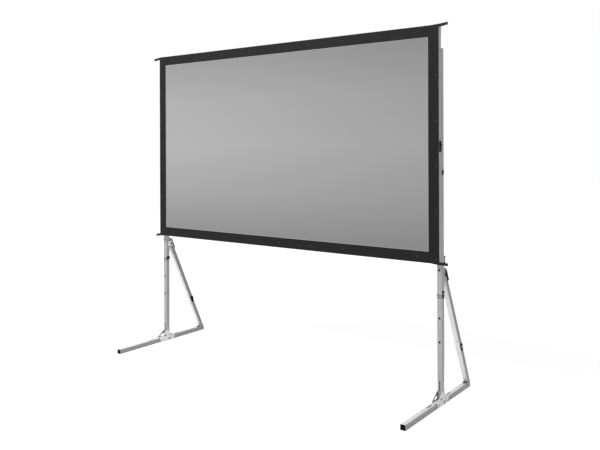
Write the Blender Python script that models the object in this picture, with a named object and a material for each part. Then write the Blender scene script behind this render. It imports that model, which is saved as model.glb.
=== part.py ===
"""Portable projection screen: a folding tube frame on two T-legs, every piece at its real size.

Metres, +Z up, X to the right of the picture and Y to the back. The origin is on the floor, midway
between the legs and under the middle of the feet. Each moving body hangs on an empty on its joint.
"""

import math

import bmesh
import bpy
from mathutils import Matrix, Vector

# Screen surface
IMAGE_WIDTH = 2.657
IMAGE_HEIGHT = 1.494
BORDER_WIDTH = 0.080
SCREEN_LIFT = 0.985
SURFACE_THICKNESS = 0.0006
BORDER_THICKNESS = 0.0012
HEM = 0.010

# Press studs along the border
RAIL_SNAP_INSET = 0.1685
SNAPS_EACH_WAY = 4
SIDE_SNAP_GAPS = 5
SIDE_SNAP_INSET = 0.022
CORNER_SNAP_INSET = 0.032
CAP_RADIUS = 0.0075
CAP_CROWN_RADIUS = 0.0045
CAP_HEIGHT = 0.0016
SOCKET_RADIUS = 0.0060
SOCKET_THICKNESS = 0.0009
STUD_RADIUS = 0.0045
STUD_HEIGHT = 0.0006

# Square tube of the frame, the legs, the braces and the feet
TUBE = 0.038
TUBE_WALL = 0.002
TUBE_CORNER = 0.003
SEAT = 0.0003
JOINT_GAP = 0.0005
OVERRUN = 0.004

# Folding frame
RAIL_INSET = 0.040
CENTRE_JOINT_SHIFT = -0.014
CORNER_HEIGHT = 0.0755
SPIGOT_LENGTH = 0.020
SPIGOT_CLEARANCE = 0.0005
SIDE_JOINT_HEIGHT = 0.787
SIDE_BOLT_ABOVE_JOINT = 0.035
SIDE_COVER_BELOW = 0.012
SIDE_COVER_ABOVE = 0.028
SIDE_COVER_WIDTH = 0.031
SIDE_COVER_THICKNESS = 0.003
SIDE_BOLT_RADIUS = 0.009
SIDE_BOLT_HEAD = 0.006

# Leaf hinges
HINGE_OFFSET = 0.003
HINGE_WIDTH = 0.030
HINGE_LEAF = 0.027
HINGE_LEAF_EDGE = 0.0035
HINGE_LEAF_THICKNESS = 0.0015
CORNER_LEAF = 0.012
HINGE_KNUCKLE = 0.0086
HINGE_PLAY = 0.0003
HINGE_TRIM = 0.0001
PIN_INSET = 0.001
PIN_RADIUS = 0.0012
BORE_RADIUS = 0.0015

# Legs: the top counted down from the frame's top, other heights up from the screen's lower edge
LEG_TOP_DROP = 0.159
LEG_UPPER_JOINT = 0.642
LEG_LOWER_JOINT = -0.230
CAP_RIM = 0.004
CAP_PLUG = 0.014
CAP_CLEARANCE = 0.0004
HOLE_RADIUS = 0.006
HOLE_HEIGHTS = (-0.049, -0.384, -0.550)
SLOT_HEIGHT = -0.857
SLOT_LENGTH = 0.070
SLOT_WIDTH = 0.007

# Knob and locating bolt that hold the leg on the frame
KNOB_HEIGHT = 0.0165
KNOB_BAR_BACK = 0.040
KNOB_BAR_RADIUS = 0.0065
KNOB_BAR_REACH = 0.025
KNOB_END_RADIUS = 0.0090
KNOB_END_LENGTH = 0.009
KNOB_HUB_RADIUS = 0.011
STUD_BOLT_RADIUS = 0.0040
BOLT_CLEARANCE = 0.0005
BOLT_REACH = 0.012
LOCATING_HEIGHT = 0.560
LOCATING_HEAD_RADIUS = 0.008
LOCATING_HEAD = 0.003

# Plates and plungers that lock the folds
LOCK_PLATE_THICKNESS = 0.002
LOCK_PLATE_WIDTH = 0.028
LEG_PLATE_PAST = 0.016
LEG_PLATE_REACH = 0.038
LEG_LOCK_FROM_JOINT = 0.018
KNEE_PLATE_PAST = 0.006
KNEE_PLATE_REACH = 0.053
KNEE_LOCK_FROM_JOINT = 0.014
LOCK_KNOB_RADIUS = 0.0075
LOCK_KNOB_LENGTH = 0.011
LOCK_PIN_RADIUS = 0.003
LOCK_PIN_REACH = 0.008

# Foot and its bracket
FOOT_LENGTH = 1.032
LEG_FROM_FOOT_REAR = 0.4707
FOOT_SLOT_WIDTH = 0.008
FOOT_SLOTS = ((-0.220, 0.079), (0.038, 0.118))
BRACKET_THICKNESS = 0.0025
BRACKET_TOP = 0.094
BRACKET_SHOULDER = 0.067
BRACKET_FRONT_REACH = 0.101
BRACKET_FRONT_INNER = 0.070
BRACKET_REAR_REACH = 0.076
BRACKET_REAR_INNER = 0.050
BRACKET_FLOOR_GAP = 0.004
BRACKET_LOBE_CUT = 0.012
BRACKET_RIB = 0.004
FRONT_BOLT_AHEAD = 0.0653
REAR_BOLT_BEHIND = 0.0137
BRACKET_BOLT_RADIUS = 0.004
BRACKET_HEAD_RADIUS = 0.0075
BRACKET_HEAD = 0.0035
LEG_BOLT_HEIGHT = 0.078

# Brace
BRACE_PIN_DROP = 0.086
BRACE_PIN_BACK = 0.0215
KNEE_BELOW_PIN = 0.606
BRACE_TOP = 0.045
BRACE_TRIM = 0.130
BRACE_HOLE_RADIUS = 0.003
BRACE_HOLES_FROM_KNEE = (-0.070, 0.034, 0.052)
BRACE_PIN_RADIUS = 0.005
BRACE_PIN_HEAD_RADIUS = 0.008
BRACE_PIN_HEAD = 0.004
EAR_THICKNESS = 0.0025
EAR_HEIGHT = 0.046
EAR_FRONT = 0.024
EAR_BEHIND_PIN = 0.012
EAR_NOTCH_PLAY = 0.0012
EAR_NOTCH_FLARE = 0.003
EAR_RIVET_RADIUS = 0.0035
EAR_RIVET_HEAD = 0.0015

# Latch lever on the brace
LATCH_LENGTH = 0.099
LATCH_ABOVE_PIN = 0.037
LATCH_WIDTH = 0.030
LATCH_THICKNESS = 0.010
LATCH_WALL = 0.002
LATCH_FLANGE = 0.009
LATCH_FLANGE_BELOW_EARS = 0.002
LATCH_PIVOT_INSET = 0.004
LATCH_EAR_THICKNESS = 0.002
LATCH_EAR_HEIGHT = 0.0135
LATCH_EAR_LENGTH = 0.014
LATCH_LIFT = 0.0015

# Pull tabs on the border's corners
TAB_WIDTH = 0.024
TAB_TIP_WIDTH = 0.020
TAB_THICKNESS = 0.0022
TAB_ROOT = 0.060
TAB_REACH = 0.0715
TAB_SLOPE = 0.012

# Sides of round pieces, and the angle past which an edge stays sharp
SMALL_SIDES = 12
STUD_SIDES = 8
KNOB_SIDES = 36
CORNER_SIDES = 2
SHARP_ANGLE = math.radians(35)
WELD = 0.00001

# Places worked out from the sizes above
OUTER_WIDTH = IMAGE_WIDTH + 2 * BORDER_WIDTH
OUTER_HEIGHT = IMAGE_HEIGHT + 2 * BORDER_WIDTH
FRAME_TOP = SCREEN_LIFT + OUTER_HEIGHT
HALF_TUBE = TUBE / 2
SIDE_X = OUTER_WIDTH / 2 - HALF_TUBE
LEG_Y = FOOT_LENGTH / 2 - LEG_FROM_FOOT_REAR
LEG_FRONT = LEG_Y - HALF_TUBE
LEG_REAR = LEG_Y + HALF_TUBE
FRAME_Y = LEG_FRONT - SEAT - HALF_TUBE
FRAME_FRONT = FRAME_Y - HALF_TUBE
FRAME_REAR = FRAME_Y + HALF_TUBE
SOCKET_REAR = FRAME_FRONT - STUD_HEIGHT - SEAT
BORDER_REAR = SOCKET_REAR - SOCKET_THICKNESS - SEAT
BORDER_FRONT = BORDER_REAR - BORDER_THICKNESS
FOOT_TOP = TUBE
FOOT_MIDDLE = HALF_TUBE
FRONT_BOLT_Y = LEG_Y - FRONT_BOLT_AHEAD
REAR_BOLT_Y = LEG_Y + REAR_BOLT_BEHIND
UPPER_JOINT_Z = SCREEN_LIFT + LEG_UPPER_JOINT
LOWER_JOINT_Z = SCREEN_LIFT + LEG_LOWER_JOINT
KNOB_Z = SCREEN_LIFT + KNOB_HEIGHT
PIN_Y = LEG_REAR + BRACE_PIN_BACK
PIN_Z = SCREEN_LIFT - BRACE_PIN_DROP
BRACE_RUN = FOOT_LENGTH / 2 - CAP_RIM - PIN_Y
BRACE_DROP = PIN_Z - FOOT_TOP - SEAT
BRACE_REACH = math.hypot(BRACE_RUN, BRACE_DROP)
BRACE_ANGLE = math.atan2(BRACE_DROP, BRACE_RUN) + math.asin(HALF_TUBE / BRACE_REACH)
KNUCKLE_RADIUS = HINGE_OFFSET - HINGE_PLAY
RAIL_SECTIONS = 4
SIDES = {"left": -1, "right": 1}
LEVELS = {"bottom": 1, "top": -1}

PROFILE = Matrix(((0, 0, 1, 0), (1, 0, 0, 0), (0, 1, 0, 0), (0, 0, 0, 1)))

PARTS = bpy.data.collections.new("portable_projection_screen")
CUTTERS = bpy.data.collections.new("cutters")
MATERIALS = {}


def clear_scene():
    for obj in list(bpy.data.objects):
        bpy.data.objects.remove(obj)
    for group in (PARTS, CUTTERS):
        bpy.context.scene.collection.children.link(group)
    CUTTERS.hide_render = True


def make_material(name, grey, roughness, metallic):
    material = bpy.data.materials.new(name)
    material.use_nodes = True
    shader = material.node_tree.nodes["Principled BSDF"]
    shader.inputs["Base Color"].default_value = (grey, grey, grey, 1)
    shader.inputs["Roughness"].default_value = roughness
    shader.inputs["Metallic"].default_value = metallic
    MATERIALS[name] = material


def pivot(name, place, parent=None):
    """An empty on a joint's axis, in world coordinates, under the body that carries it."""
    empty = bpy.data.objects.new(name, None)
    empty.empty_display_size = TUBE
    PARTS.objects.link(empty)
    above = Vector((0, 0, 0))
    if parent is not None:
        empty.parent = parent
        above = parent["place"]
    empty["place"] = Vector(place)
    empty.location = Vector(place) - Vector(above)
    return empty


def frame_from(origin, along, out):
    """Local X runs along, local Z points out, with the origin at a point."""
    across = Vector(out).cross(Vector(along))
    turned = Matrix((along, across, out)).transposed().to_4x4()
    return Matrix.Translation(origin) @ turned


def block(low, high, frame=None):
    shape = bmesh.new()
    size = Vector(high) - Vector(low)
    middle = (Vector(high) + Vector(low)) / 2
    matrix = Matrix.Translation(middle) @ Matrix.Diagonal((*size, 1))
    bmesh.ops.create_cube(shape, size=1, matrix=matrix)
    if frame is not None:
        shape.transform(frame)
    return shape


def rod(start, end, radius, end_radius=None, sides=SMALL_SIDES, frame=None):
    shape = bmesh.new()
    start = Vector(start)
    run = Vector(end) - start
    turned = run.to_track_quat("Z", "Y").to_matrix().to_4x4()
    matrix = Matrix.Translation(start + run / 2) @ turned
    bmesh.ops.create_cone(
        shape,
        cap_ends=True,
        segments=sides,
        radius1=radius,
        radius2=radius if end_radius is None else end_radius,
        depth=run.length,
        matrix=matrix,
    )
    if frame is not None:
        shape.transform(frame)
    return shape


def outline_solid(outlines, thickness, frame):
    """A flat outline with its holes, given thickness on both sides of the frame's XY plane."""
    curve = bpy.data.curves.new("outline", "CURVE")
    curve.dimensions = "2D"
    curve.fill_mode = "BOTH"
    curve.extrude = thickness / 2
    for points in outlines:
        spline = curve.splines.new("POLY")
        spline.points.add(len(points) - 1)
        for point, (u, v) in zip(spline.points, points):
            point.co = (u, v, 0, 1)
        spline.use_cyclic_u = True
    holder = bpy.data.objects.new("outline", curve)
    CUTTERS.objects.link(holder)
    evaluated = holder.evaluated_get(bpy.context.evaluated_depsgraph_get())
    mesh = bpy.data.meshes.new_from_object(evaluated)
    shape = bmesh.new()
    shape.from_mesh(mesh)
    bmesh.ops.remove_doubles(shape, verts=shape.verts, dist=WELD)
    shape.transform(frame)
    bpy.data.objects.remove(holder)
    bpy.data.curves.remove(curve)
    bpy.data.meshes.remove(mesh)
    return shape


def rounded_square(half, radius):
    """Corner points of a square with each corner turned in a quarter circle."""
    points = []
    for quarter in range(4):
        turn = quarter * math.pi / 2
        corner = Matrix.Rotation(turn, 2) @ Vector((half - radius, half - radius))
        for step in range(CORNER_SIDES + 1):
            angle = turn + step * math.pi / 2 / CORNER_SIDES
            points.append(corner + radius * Vector((math.cos(angle), math.sin(angle))))
    return points


def square_tube(start, end, across):
    """Hollow square tube from start to end, one pair of its walls square to across."""
    start = Vector(start)
    run = Vector(end) - start
    frame = frame_from(start + run / 2, Vector(across), run.normalized())
    bore = HALF_TUBE - TUBE_WALL
    corners = [(-bore, -bore), (bore, -bore), (bore, bore), (-bore, bore)]
    return outline_solid((rounded_square(HALF_TUBE, TUBE_CORNER), corners), run.length, frame)


def gather(shapes):
    whole = bmesh.new()
    for shape in shapes:
        mesh = bpy.data.meshes.new("shape")
        shape.to_mesh(mesh)
        shape.free()
        whole.from_mesh(mesh)
        bpy.data.meshes.remove(mesh)
    return whole


def mesh_object(name, shape, parent, group):
    place = Matrix.Translation(-Vector(parent["place"]))
    shape.transform(place)
    mesh = bpy.data.meshes.new(name)
    shape.to_mesh(mesh)
    shape.free()
    obj = bpy.data.objects.new(name, mesh)
    obj.parent = parent
    group.objects.link(obj)
    return obj


def piece(name, parent, material, solid, joined=(), cuts=()):
    """One node: a solid, the shapes joined to it and the shapes cut away, on the parent's joint."""
    obj = mesh_object(name, solid, parent, PARTS)
    obj.data.materials.append(MATERIALS[material])
    for operation, shapes in (("UNION", joined), ("DIFFERENCE", cuts)):
        for count, shape in enumerate(shapes):
            other = mesh_object(f"{name}_{operation.lower()}_{count}", shape, parent, CUTTERS)
            other.hide_render = True
            other.display_type = "WIRE"
            change = obj.modifiers.new(other.name, "BOOLEAN")
            change.operation = operation
            change.object = other
    obj.data.shade_smooth()
    obj.data.set_sharp_from_angle(angle=SHARP_ANGLE)
    return obj


def knuckle(frame, low, high):
    return rod((0, low, 0), (0, high, 0), KNUCKLE_RADIUS, frame=frame)


def leaf_plate(frame, seated, length=HINGE_LEAF):
    """Flat of a hinge leaf. A seated one reaches down into the wall that carries it."""
    bottom = -HINGE_OFFSET - TUBE_WALL / 2 if seated else -HINGE_OFFSET + HINGE_PLAY
    top = -HINGE_OFFSET + HINGE_PLAY + HINGE_LEAF_THICKNESS
    half = HINGE_WIDTH / 2
    return block((HINGE_LEAF_EDGE, -half, bottom), (length, half, top), frame)


def tongue(frame, low, high):
    """Strip that carries one knuckle out from the leaf's edge."""
    bottom = -HINGE_OFFSET + HINGE_PLAY + HINGE_TRIM
    top = bottom + HINGE_LEAF_THICKNESS - 2 * HINGE_TRIM
    reach = HINGE_LEAF_EDGE + OVERRUN
    return block((0, low + HINGE_TRIM, bottom), (reach, high - HINGE_TRIM, top), frame)


def pin_side(frame):
    """The two outer knuckles of a hinge and its pin; the frame's origin is on the axis."""
    half = HINGE_WIDTH / 2
    inner = HINGE_KNUCKLE / 2 + HINGE_PLAY
    joined = [rod((0, PIN_INSET - half, 0), (0, half - PIN_INSET, 0), PIN_RADIUS, frame=frame)]
    for low, high in ((-half, -inner), (inner, half)):
        joined.append(tongue(frame, low, high))
        joined.append(knuckle(frame, low, high))
    return joined


def bored_leaf(frame):
    """Shapes to join and to cut for a leaf with the bored middle knuckle, seated in its wall."""
    inner = HINGE_KNUCKLE / 2
    bore = rod((0, -HINGE_WIDTH, 0), (0, HINGE_WIDTH, 0), BORE_RADIUS, frame=frame)
    plate = leaf_plate(frame, seated=True)
    return [plate, tongue(frame, -inner, inner), knuckle(frame, -inner, inner)], [bore]


def rail_joints():
    """X of the five hinge axes along a rail, and whether each hinge is on the face towards the middle."""
    end = SIDE_X - HALF_TUBE - HINGE_OFFSET
    centre = CENTRE_JOINT_SHIFT
    left = (centre - end) / 2
    right = (centre + end) / 2
    return [(-end, True), (left, False), (centre, True), (right, False), (end, True)]


def rail_height(level):
    return SCREEN_LIFT + RAIL_INSET if level == "bottom" else FRAME_TOP - RAIL_INSET


def joint_place(level, index):
    x, inward = rail_joints()[index]
    towards_middle = LEVELS[level] if inward else -LEVELS[level]
    return Vector((x, FRAME_Y, rail_height(level) + towards_middle * (HALF_TUBE + HINGE_OFFSET)))


def joint_out(level, index):
    inward = rail_joints()[index][1]
    return Vector((0, 0, LEVELS[level] if inward else -LEVELS[level]))


def stud(x, z):
    start = (x, FRAME_FRONT + TUBE_WALL / 2, z)
    return rod(start, (x, FRAME_FRONT - STUD_HEIGHT, z), STUD_RADIUS, sides=STUD_SIDES)


def rail_snaps():
    pitch = (OUTER_WIDTH / 2 - RAIL_SNAP_INSET) / SNAPS_EACH_WAY
    return [count * pitch for count in range(-SNAPS_EACH_WAY, SNAPS_EACH_WAY + 1)]


def side_snaps():
    run = (OUTER_HEIGHT - 2 * CORNER_SNAP_INSET) / SIDE_SNAP_GAPS
    return [SCREEN_LIFT + CORNER_SNAP_INSET + count * run for count in range(SIDE_SNAP_GAPS + 1)]


def snap_x(side):
    return SIDES[side] * (OUTER_WIDTH / 2 - SIDE_SNAP_INSET)


def make_surface(body):
    half_width = IMAGE_WIDTH / 2
    middle = SCREEN_LIFT + OUTER_HEIGHT / 2
    half_height = IMAGE_HEIGHT / 2
    upright = frame_from((0, BORDER_REAR - BORDER_THICKNESS / 2, middle), (1, 0, 0), (0, -1, 0))
    rings = []
    for grow in (BORDER_WIDTH, 0):
        u = half_width + grow
        v = half_height + grow
        rings.append([(-u, -v), (u, -v), (u, v), (-u, v)])
    border = outline_solid(rings, BORDER_THICKNESS, upright)
    piece("screen_border", body, "black_fabric", border, [caps(), sockets(), tabs()])
    reach = Vector((half_width + HEM, 0, half_height + HEM))
    centre = Vector((0, BORDER_REAR + SEAT, middle))
    sheet = block(centre - reach, centre + reach + Vector((0, SURFACE_THICKNESS, 0)))
    piece("screen_surface", body, "screen_grey", sheet)


def snap_places():
    places = [(x, rail_height(level)) for level in LEVELS for x in rail_snaps()]
    return places + [(snap_x(side), z) for side in SIDES for z in side_snaps()]


def caps():
    """Domed caps on the border's front, one over each press stud."""
    inside = BORDER_REAR - BORDER_THICKNESS / 2
    front = BORDER_FRONT - CAP_HEIGHT
    shapes = []
    for x, z in snap_places():
        shapes.append(rod((x, inside, z), (x, front, z), CAP_RADIUS, CAP_CROWN_RADIUS))
    return gather(shapes)


def sockets():
    """Sockets on the border's back that the studs of the frame press into."""
    inside = BORDER_REAR - BORDER_THICKNESS / 2
    shapes = []
    for x, z in snap_places():
        shapes.append(rod((x, inside, z), (x, SOCKET_REAR, z), SOCKET_RADIUS, sides=STUD_SIDES))
    return gather(shapes)


def tabs():
    """Webbing pull tabs that stick out sideways from the border's corners."""
    shapes = []
    y = BORDER_FRONT - TAB_THICKNESS / 2 + BORDER_THICKNESS / 2
    frame = frame_from((0, y, 0), (1, 0, 0), (0, -1, 0))
    for s in SIDES.values():
        for level, towards_middle in LEVELS.items():
            root_x = s * (OUTER_WIDTH / 2 - TAB_ROOT)
            tip_x = s * (OUTER_WIDTH / 2 + TAB_REACH)
            edge = SCREEN_LIFT if level == "bottom" else FRAME_TOP
            root_z = edge + towards_middle * TAB_WIDTH / 2
            tip_z = root_z + s * TAB_SLOPE
            wide = TAB_WIDTH / 2
            narrow = TAB_TIP_WIDTH / 2
            points = [(root_x, root_z - wide), (tip_x, tip_z - narrow)]
            points += [(tip_x, tip_z + narrow), (root_x, root_z + wide)]
            shapes.append(outline_solid([points], TAB_THICKNESS, frame))
    return gather(shapes)


def make_rail_section(level, index, body):
    """One of the four tubes of a rail, with its studs and its side of the hinge at each end."""
    start = joint_place(level, index)
    end = joint_place(level, index + 1)
    last = index == RAIL_SECTIONS - 1
    z = rail_height(level)
    side_face = SIDE_X - HALF_TUBE - JOINT_GAP
    left = start.x + JOINT_GAP / 2 if index else -side_face
    right = side_face if last else end.x - JOINT_GAP / 2
    tube = square_tube((left, FRAME_Y, z), (right, FRAME_Y, z), (0, 0, 1))
    studs = gather([stud(x, z) for x in rail_snaps() if left < x < right])
    frame = frame_from(start, Vector((1, 0, 0)), joint_out(level, index))
    joined, cuts = bored_leaf(frame)
    frame = frame_from(end, Vector((-1, 0, 0)), joint_out(level, index + 1))
    if last:
        shapes, bores = bored_leaf(frame)
        joined += shapes
        cuts += bores
    else:
        joined += [leaf_plate(frame, seated=True), *pin_side(frame)]
    piece(f"{level}_rail_{index + 1}", body, "aluminium", tube, [studs, *joined], cuts)


def spigot(x, y, low, high):
    half = HALF_TUBE - TUBE_WALL - SPIGOT_CLEARANCE
    return block((x - half, y - half, low), (x + half, y + half, high))


def make_corner(side, level, body):
    """Corner casting: block, spigot into the side tube, stud, rail hinge side and bolt hole."""
    s = SIDES[side]
    up = LEVELS[level]
    x = s * SIDE_X
    edge = SCREEN_LIFT if level == "bottom" else FRAME_TOP
    inner = edge + up * CORNER_HEIGHT
    tip = inner + up * SPIGOT_LENGTH
    low, high = sorted((edge, inner))
    half = Vector((HALF_TUBE, HALF_TUBE, 0))
    solid = block(Vector((x, FRAME_Y, low)) - half, Vector((x, FRAME_Y, high)) + half)
    low, high = sorted((inner - up * OVERRUN, tip))
    joined = [spigot(x, FRAME_Y, low, high), stud(snap_x(side), edge + up * CORNER_SNAP_INSET)]
    index = 0 if side == "left" else RAIL_SECTIONS
    frame = frame_from(joint_place(level, index), Vector((0, 0, up)), Vector((-s, 0, 0)))
    joined += [leaf_plate(frame, seated=True, length=CORNER_LEAF), *pin_side(frame)]
    cuts = []
    if level == "bottom":
        cuts.append(bolt_hole(x, KNOB_Z, FRAME_REAR - BOLT_REACH - OVERRUN, FRAME_REAR + OVERRUN))
    piece(f"{side}_{level}_corner", body, "aluminium", solid, joined, cuts)


def bolt_hole(x, z, front, rear):
    return rod((x, front, z), (x, rear, z), STUD_BOLT_RADIUS + BOLT_CLEARANCE)


def make_side(side, body):
    s = SIDES[side]
    x = s * SIDE_X
    joint = SCREEN_LIFT + SIDE_JOINT_HEIGHT
    spans = {
        "lower": (SCREEN_LIFT + CORNER_HEIGHT + SEAT, joint),
        "upper": (joint + SEAT, FRAME_TOP - CORNER_HEIGHT - SEAT),
    }
    locating = bolt_hole(x, SCREEN_LIFT + LOCATING_HEIGHT, FRAME_Y, FRAME_REAR + OVERRUN)
    for name, (low, high) in spans.items():
        tube = square_tube((x, FRAME_Y, low), (x, FRAME_Y, high), (1, 0, 0))
        studs = gather([stud(snap_x(side), z) for z in side_snaps() if low < z < high])
        cuts = [locating] if name == "lower" else []
        piece(f"{side}_side_tube_{name}", body, "aluminium", tube, [studs], cuts)
    face = x + s * (HALF_TUBE + SEAT)
    outer = face + s * SIDE_COVER_THICKNESS
    half = SIDE_COVER_WIDTH / 2
    low, high = sorted((face, outer))
    bolt_z = joint + SIDE_BOLT_ABOVE_JOINT
    bottom = joint - SIDE_COVER_BELOW
    cover = block((low, FRAME_Y - half, bottom), (high, FRAME_Y + half, bolt_z + SIDE_COVER_ABOVE))
    start = (outer - s * SIDE_COVER_THICKNESS / 2, FRAME_Y, bolt_z)
    head = rod(start, (outer + s * SIDE_BOLT_HEAD, FRAME_Y, bolt_z), SIDE_BOLT_RADIUS)
    piece(f"{side}_side_hinge", body, "black_metal", cover, [head])
    for level in LEVELS:
        make_corner(side, level, body)


def side_plate(frame, hand, past, reach):
    """Plate over a joint on one side of a tube. The frame's origin is on the tube's centre line at the
    joint, X runs along the carrying tube and Z out of the wall that the bracket's web covers."""
    near = hand * (HALF_TUBE + SEAT + HINGE_TRIM)
    far = hand * (HALF_TUBE + SEAT + LOCK_PLATE_THICKNESS - HINGE_TRIM)
    low, high = sorted((near, far))
    half = LOCK_PLATE_WIDTH / 2
    return block((-past, low, HINGE_TRIM - half), (reach, high, half), frame)


def wrap(frame):
    """Bent plate around three walls of a tube beside the joint, its web on the wall that Z leaves."""
    inner = HALF_TUBE + SEAT
    wide = inner + LOCK_PLATE_THICKNESS
    top = inner + HINGE_LEAF_THICKNESS
    half = LOCK_PLATE_WIDTH / 2
    points = [(-wide, -half), (-inner, -half), (-inner, inner), (inner, inner)]
    points += [(inner, -half), (wide, -half), (wide, top), (-wide, top)]
    length = HINGE_LEAF - HINGE_LEAF_EDGE
    middle = Matrix.Translation((HINGE_LEAF_EDGE + length / 2, 0, 0))
    return outline_solid([points], length, frame @ middle @ PROFILE)


def lock_hole(wall, from_joint):
    """Hole for the plunger through the plate and the wall. The frame stands on the wall, Z outward."""
    start = (from_joint, 0, -TUBE_WALL - OVERRUN)
    end = (from_joint, 0, OVERRUN + LOCK_PLATE_THICKNESS)
    return rod(start, end, LOCK_PIN_RADIUS + HINGE_PLAY, frame=wall)


def make_lock(name, body, wall, from_joint):
    """Spring plunger: a turned knob outside the plate and a pin through the wall."""
    outside = 2 * SEAT + LOCK_PLATE_THICKNESS
    knob_end = outside + LOCK_KNOB_LENGTH
    knob = rod((from_joint, 0, outside), (from_joint, 0, knob_end), LOCK_KNOB_RADIUS, frame=wall)
    tip = (from_joint, 0, -LOCK_PIN_REACH)
    pin = rod(tip, (from_joint, 0, outside + OVERRUN), LOCK_PIN_RADIUS, frame=wall)
    piece(name, body, "bright_steel", knob, [pin])


def front_hole(x, z):
    return rod((x, LEG_FRONT - OVERRUN, z), (x, LEG_Y, z), HOLE_RADIUS)


def leg_wall(side):
    """On the leg's outer wall at the lower joint, X up and Z outward."""
    s = SIDES[side]
    place = (s * (SIDE_X + HALF_TUBE), LEG_Y, LOWER_JOINT_Z)
    return frame_from(place, Vector((0, 0, 1)), Vector((s, 0, 0)))


def make_leg_middle(side, body):
    s = SIDES[side]
    x = s * SIDE_X
    low = LOWER_JOINT_Z + JOINT_GAP / 2
    high = UPPER_JOINT_Z - JOINT_GAP / 2
    outward = Vector((s, 0, 0))
    tube = square_tube((x, LEG_Y, low), (x, LEG_Y, high), (1, 0, 0))
    z = SCREEN_LIFT + LOCATING_HEIGHT
    bolt = rod((x, FRAME_REAR - BOLT_REACH, z), (x, LEG_REAR + LOCATING_HEAD / 2, z), STUD_BOLT_RADIUS)
    head = rod((x, LEG_REAR - TUBE_WALL / 2, z), (x, LEG_REAR + LOCATING_HEAD, z), LOCATING_HEAD_RADIUS)
    cuts = [lock_hole(leg_wall(side), LEG_LOCK_FROM_JOINT)]
    cuts.append(bolt_hole(x, KNOB_Z, LEG_FRONT - OVERRUN, LEG_REAR + OVERRUN))
    for height in HOLE_HEIGHTS:
        if height > LEG_LOWER_JOINT:
            cuts.append(front_hole(x, SCREEN_LIFT + height))
    piece(f"{side}_leg_middle_tube", body, "aluminium", tube, [bolt, head], cuts)

    upper = Vector((x + s * (HALF_TUBE + HINGE_OFFSET), LEG_Y, UPPER_JOINT_Z))
    frame = frame_from(upper, Vector((0, 0, -1)), outward)
    leaf = leaf_plate(frame, seated=False)
    piece(f"{side}_leg_upper_hinge", body, "black_metal", leaf, pin_side(frame))

    lower = Vector((x - s * (HALF_TUBE + HINGE_OFFSET), LEG_Y, LOWER_JOINT_Z))
    shapes = pin_side(frame_from(lower, Vector((0, 0, 1)), -outward))
    joint = frame_from((x, LEG_Y, LOWER_JOINT_Z), Vector((0, 0, 1)), Vector((0, 1, 0)))
    shapes.append(side_plate(joint, s, LEG_PLATE_PAST, LEG_PLATE_REACH))
    hole = lock_hole(leg_wall(side), LEG_LOCK_FROM_JOINT)
    piece(f"{side}_leg_lower_bracket", body, "black_metal", wrap(joint), shapes, [hole])
    make_ear(side, body)


def make_ear(side, body):
    """The ear beside the leg whose notch holds the brace's pin, with its two rivets."""
    s = SIDES[side]
    x = s * SIDE_X
    face = x - s * (HALF_TUBE + SEAT)
    far = face - s * EAR_THICKNESS
    low, high = sorted((face, far))
    bottom = PIN_Z - EAR_HEIGHT / 2
    top = PIN_Z + EAR_HEIGHT / 2
    ear = block((low, LEG_REAR - EAR_FRONT, bottom), (high, PIN_Y + EAR_BEHIND_PIN, top))
    notch = notch_shape(low - OVERRUN, high + OVERRUN)
    rivets = []
    for z in (bottom + EAR_FRONT / 2, top - EAR_FRONT / 2):
        place = (far + s * EAR_THICKNESS / 2, LEG_REAR - EAR_FRONT / 2, z)
        tip = (far - s * EAR_RIVET_HEAD, LEG_REAR - EAR_FRONT / 2, z)
        rivets.append(rod(place, tip, EAR_RIVET_RADIUS))
    piece(f"{side}_brace_ear", body, "bright_steel", ear, rivets, [notch])


def notch_shape(low, high):
    """Notch that opens to the back and flares, so that the brace's pin can leave it either way."""
    half = BRACE_PIN_RADIUS + EAR_NOTCH_PLAY
    reach = EAR_BEHIND_PIN + OVERRUN
    points = [(0, -half), (half, -half), (reach, -half - EAR_NOTCH_FLARE), (reach, half + reach)]
    points += [(0, half), (-half, half / 2), (-half, -half / 2)]
    frame = frame_from(((low + high) / 2, PIN_Y, PIN_Z), (0, 1, 0), (1, 0, 0))
    return outline_solid([points], high - low, frame)


def make_knob(side, body):
    """T-handle behind the leg: a bar with two thicker ends, its hub and the bolt into the frame."""
    x = SIDES[side] * SIDE_X
    hub = LEG_REAR + SEAT
    back = LEG_REAR + KNOB_BAR_BACK
    ends = KNOB_BAR_REACH - KNOB_END_LENGTH
    bar = rod((x, back, KNOB_Z - ends - OVERRUN), (x, back, KNOB_Z + ends + OVERRUN), KNOB_BAR_RADIUS)
    joined = [
        rod((x, hub, KNOB_Z), (x, back, KNOB_Z), KNOB_HUB_RADIUS, sides=KNOB_SIDES // 2),
        rod((x, FRAME_REAR - BOLT_REACH, KNOB_Z), (x, hub + OVERRUN, KNOB_Z), STUD_BOLT_RADIUS),
    ]
    for way in SIDES.values():
        near = (x, back, KNOB_Z + way * ends)
        far = (x, back, KNOB_Z + way * KNOB_BAR_REACH)
        joined.append(rod(near, far, KNOB_END_RADIUS, sides=KNOB_SIDES // 2))
    piece(f"{side}_leg_knob", body, "grey_plastic", bar, joined)


def make_plug(name, body, face, direction, across):
    """Flush plug in a tube's end: a square rim and a shank in the bore."""
    frame = frame_from(face, Vector(across), Vector(direction))
    half = HALF_TUBE - TUBE_CORNER / 2
    shank = HALF_TUBE - TUBE_WALL - CAP_CLEARANCE
    rim = block((-half, -half, SEAT), (half, half, CAP_RIM), frame)
    inside = block((-shank, -shank, -CAP_PLUG), (shank, shank, CAP_RIM / 2), frame)
    piece(name, body, "black_metal", rim, [inside])


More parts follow.
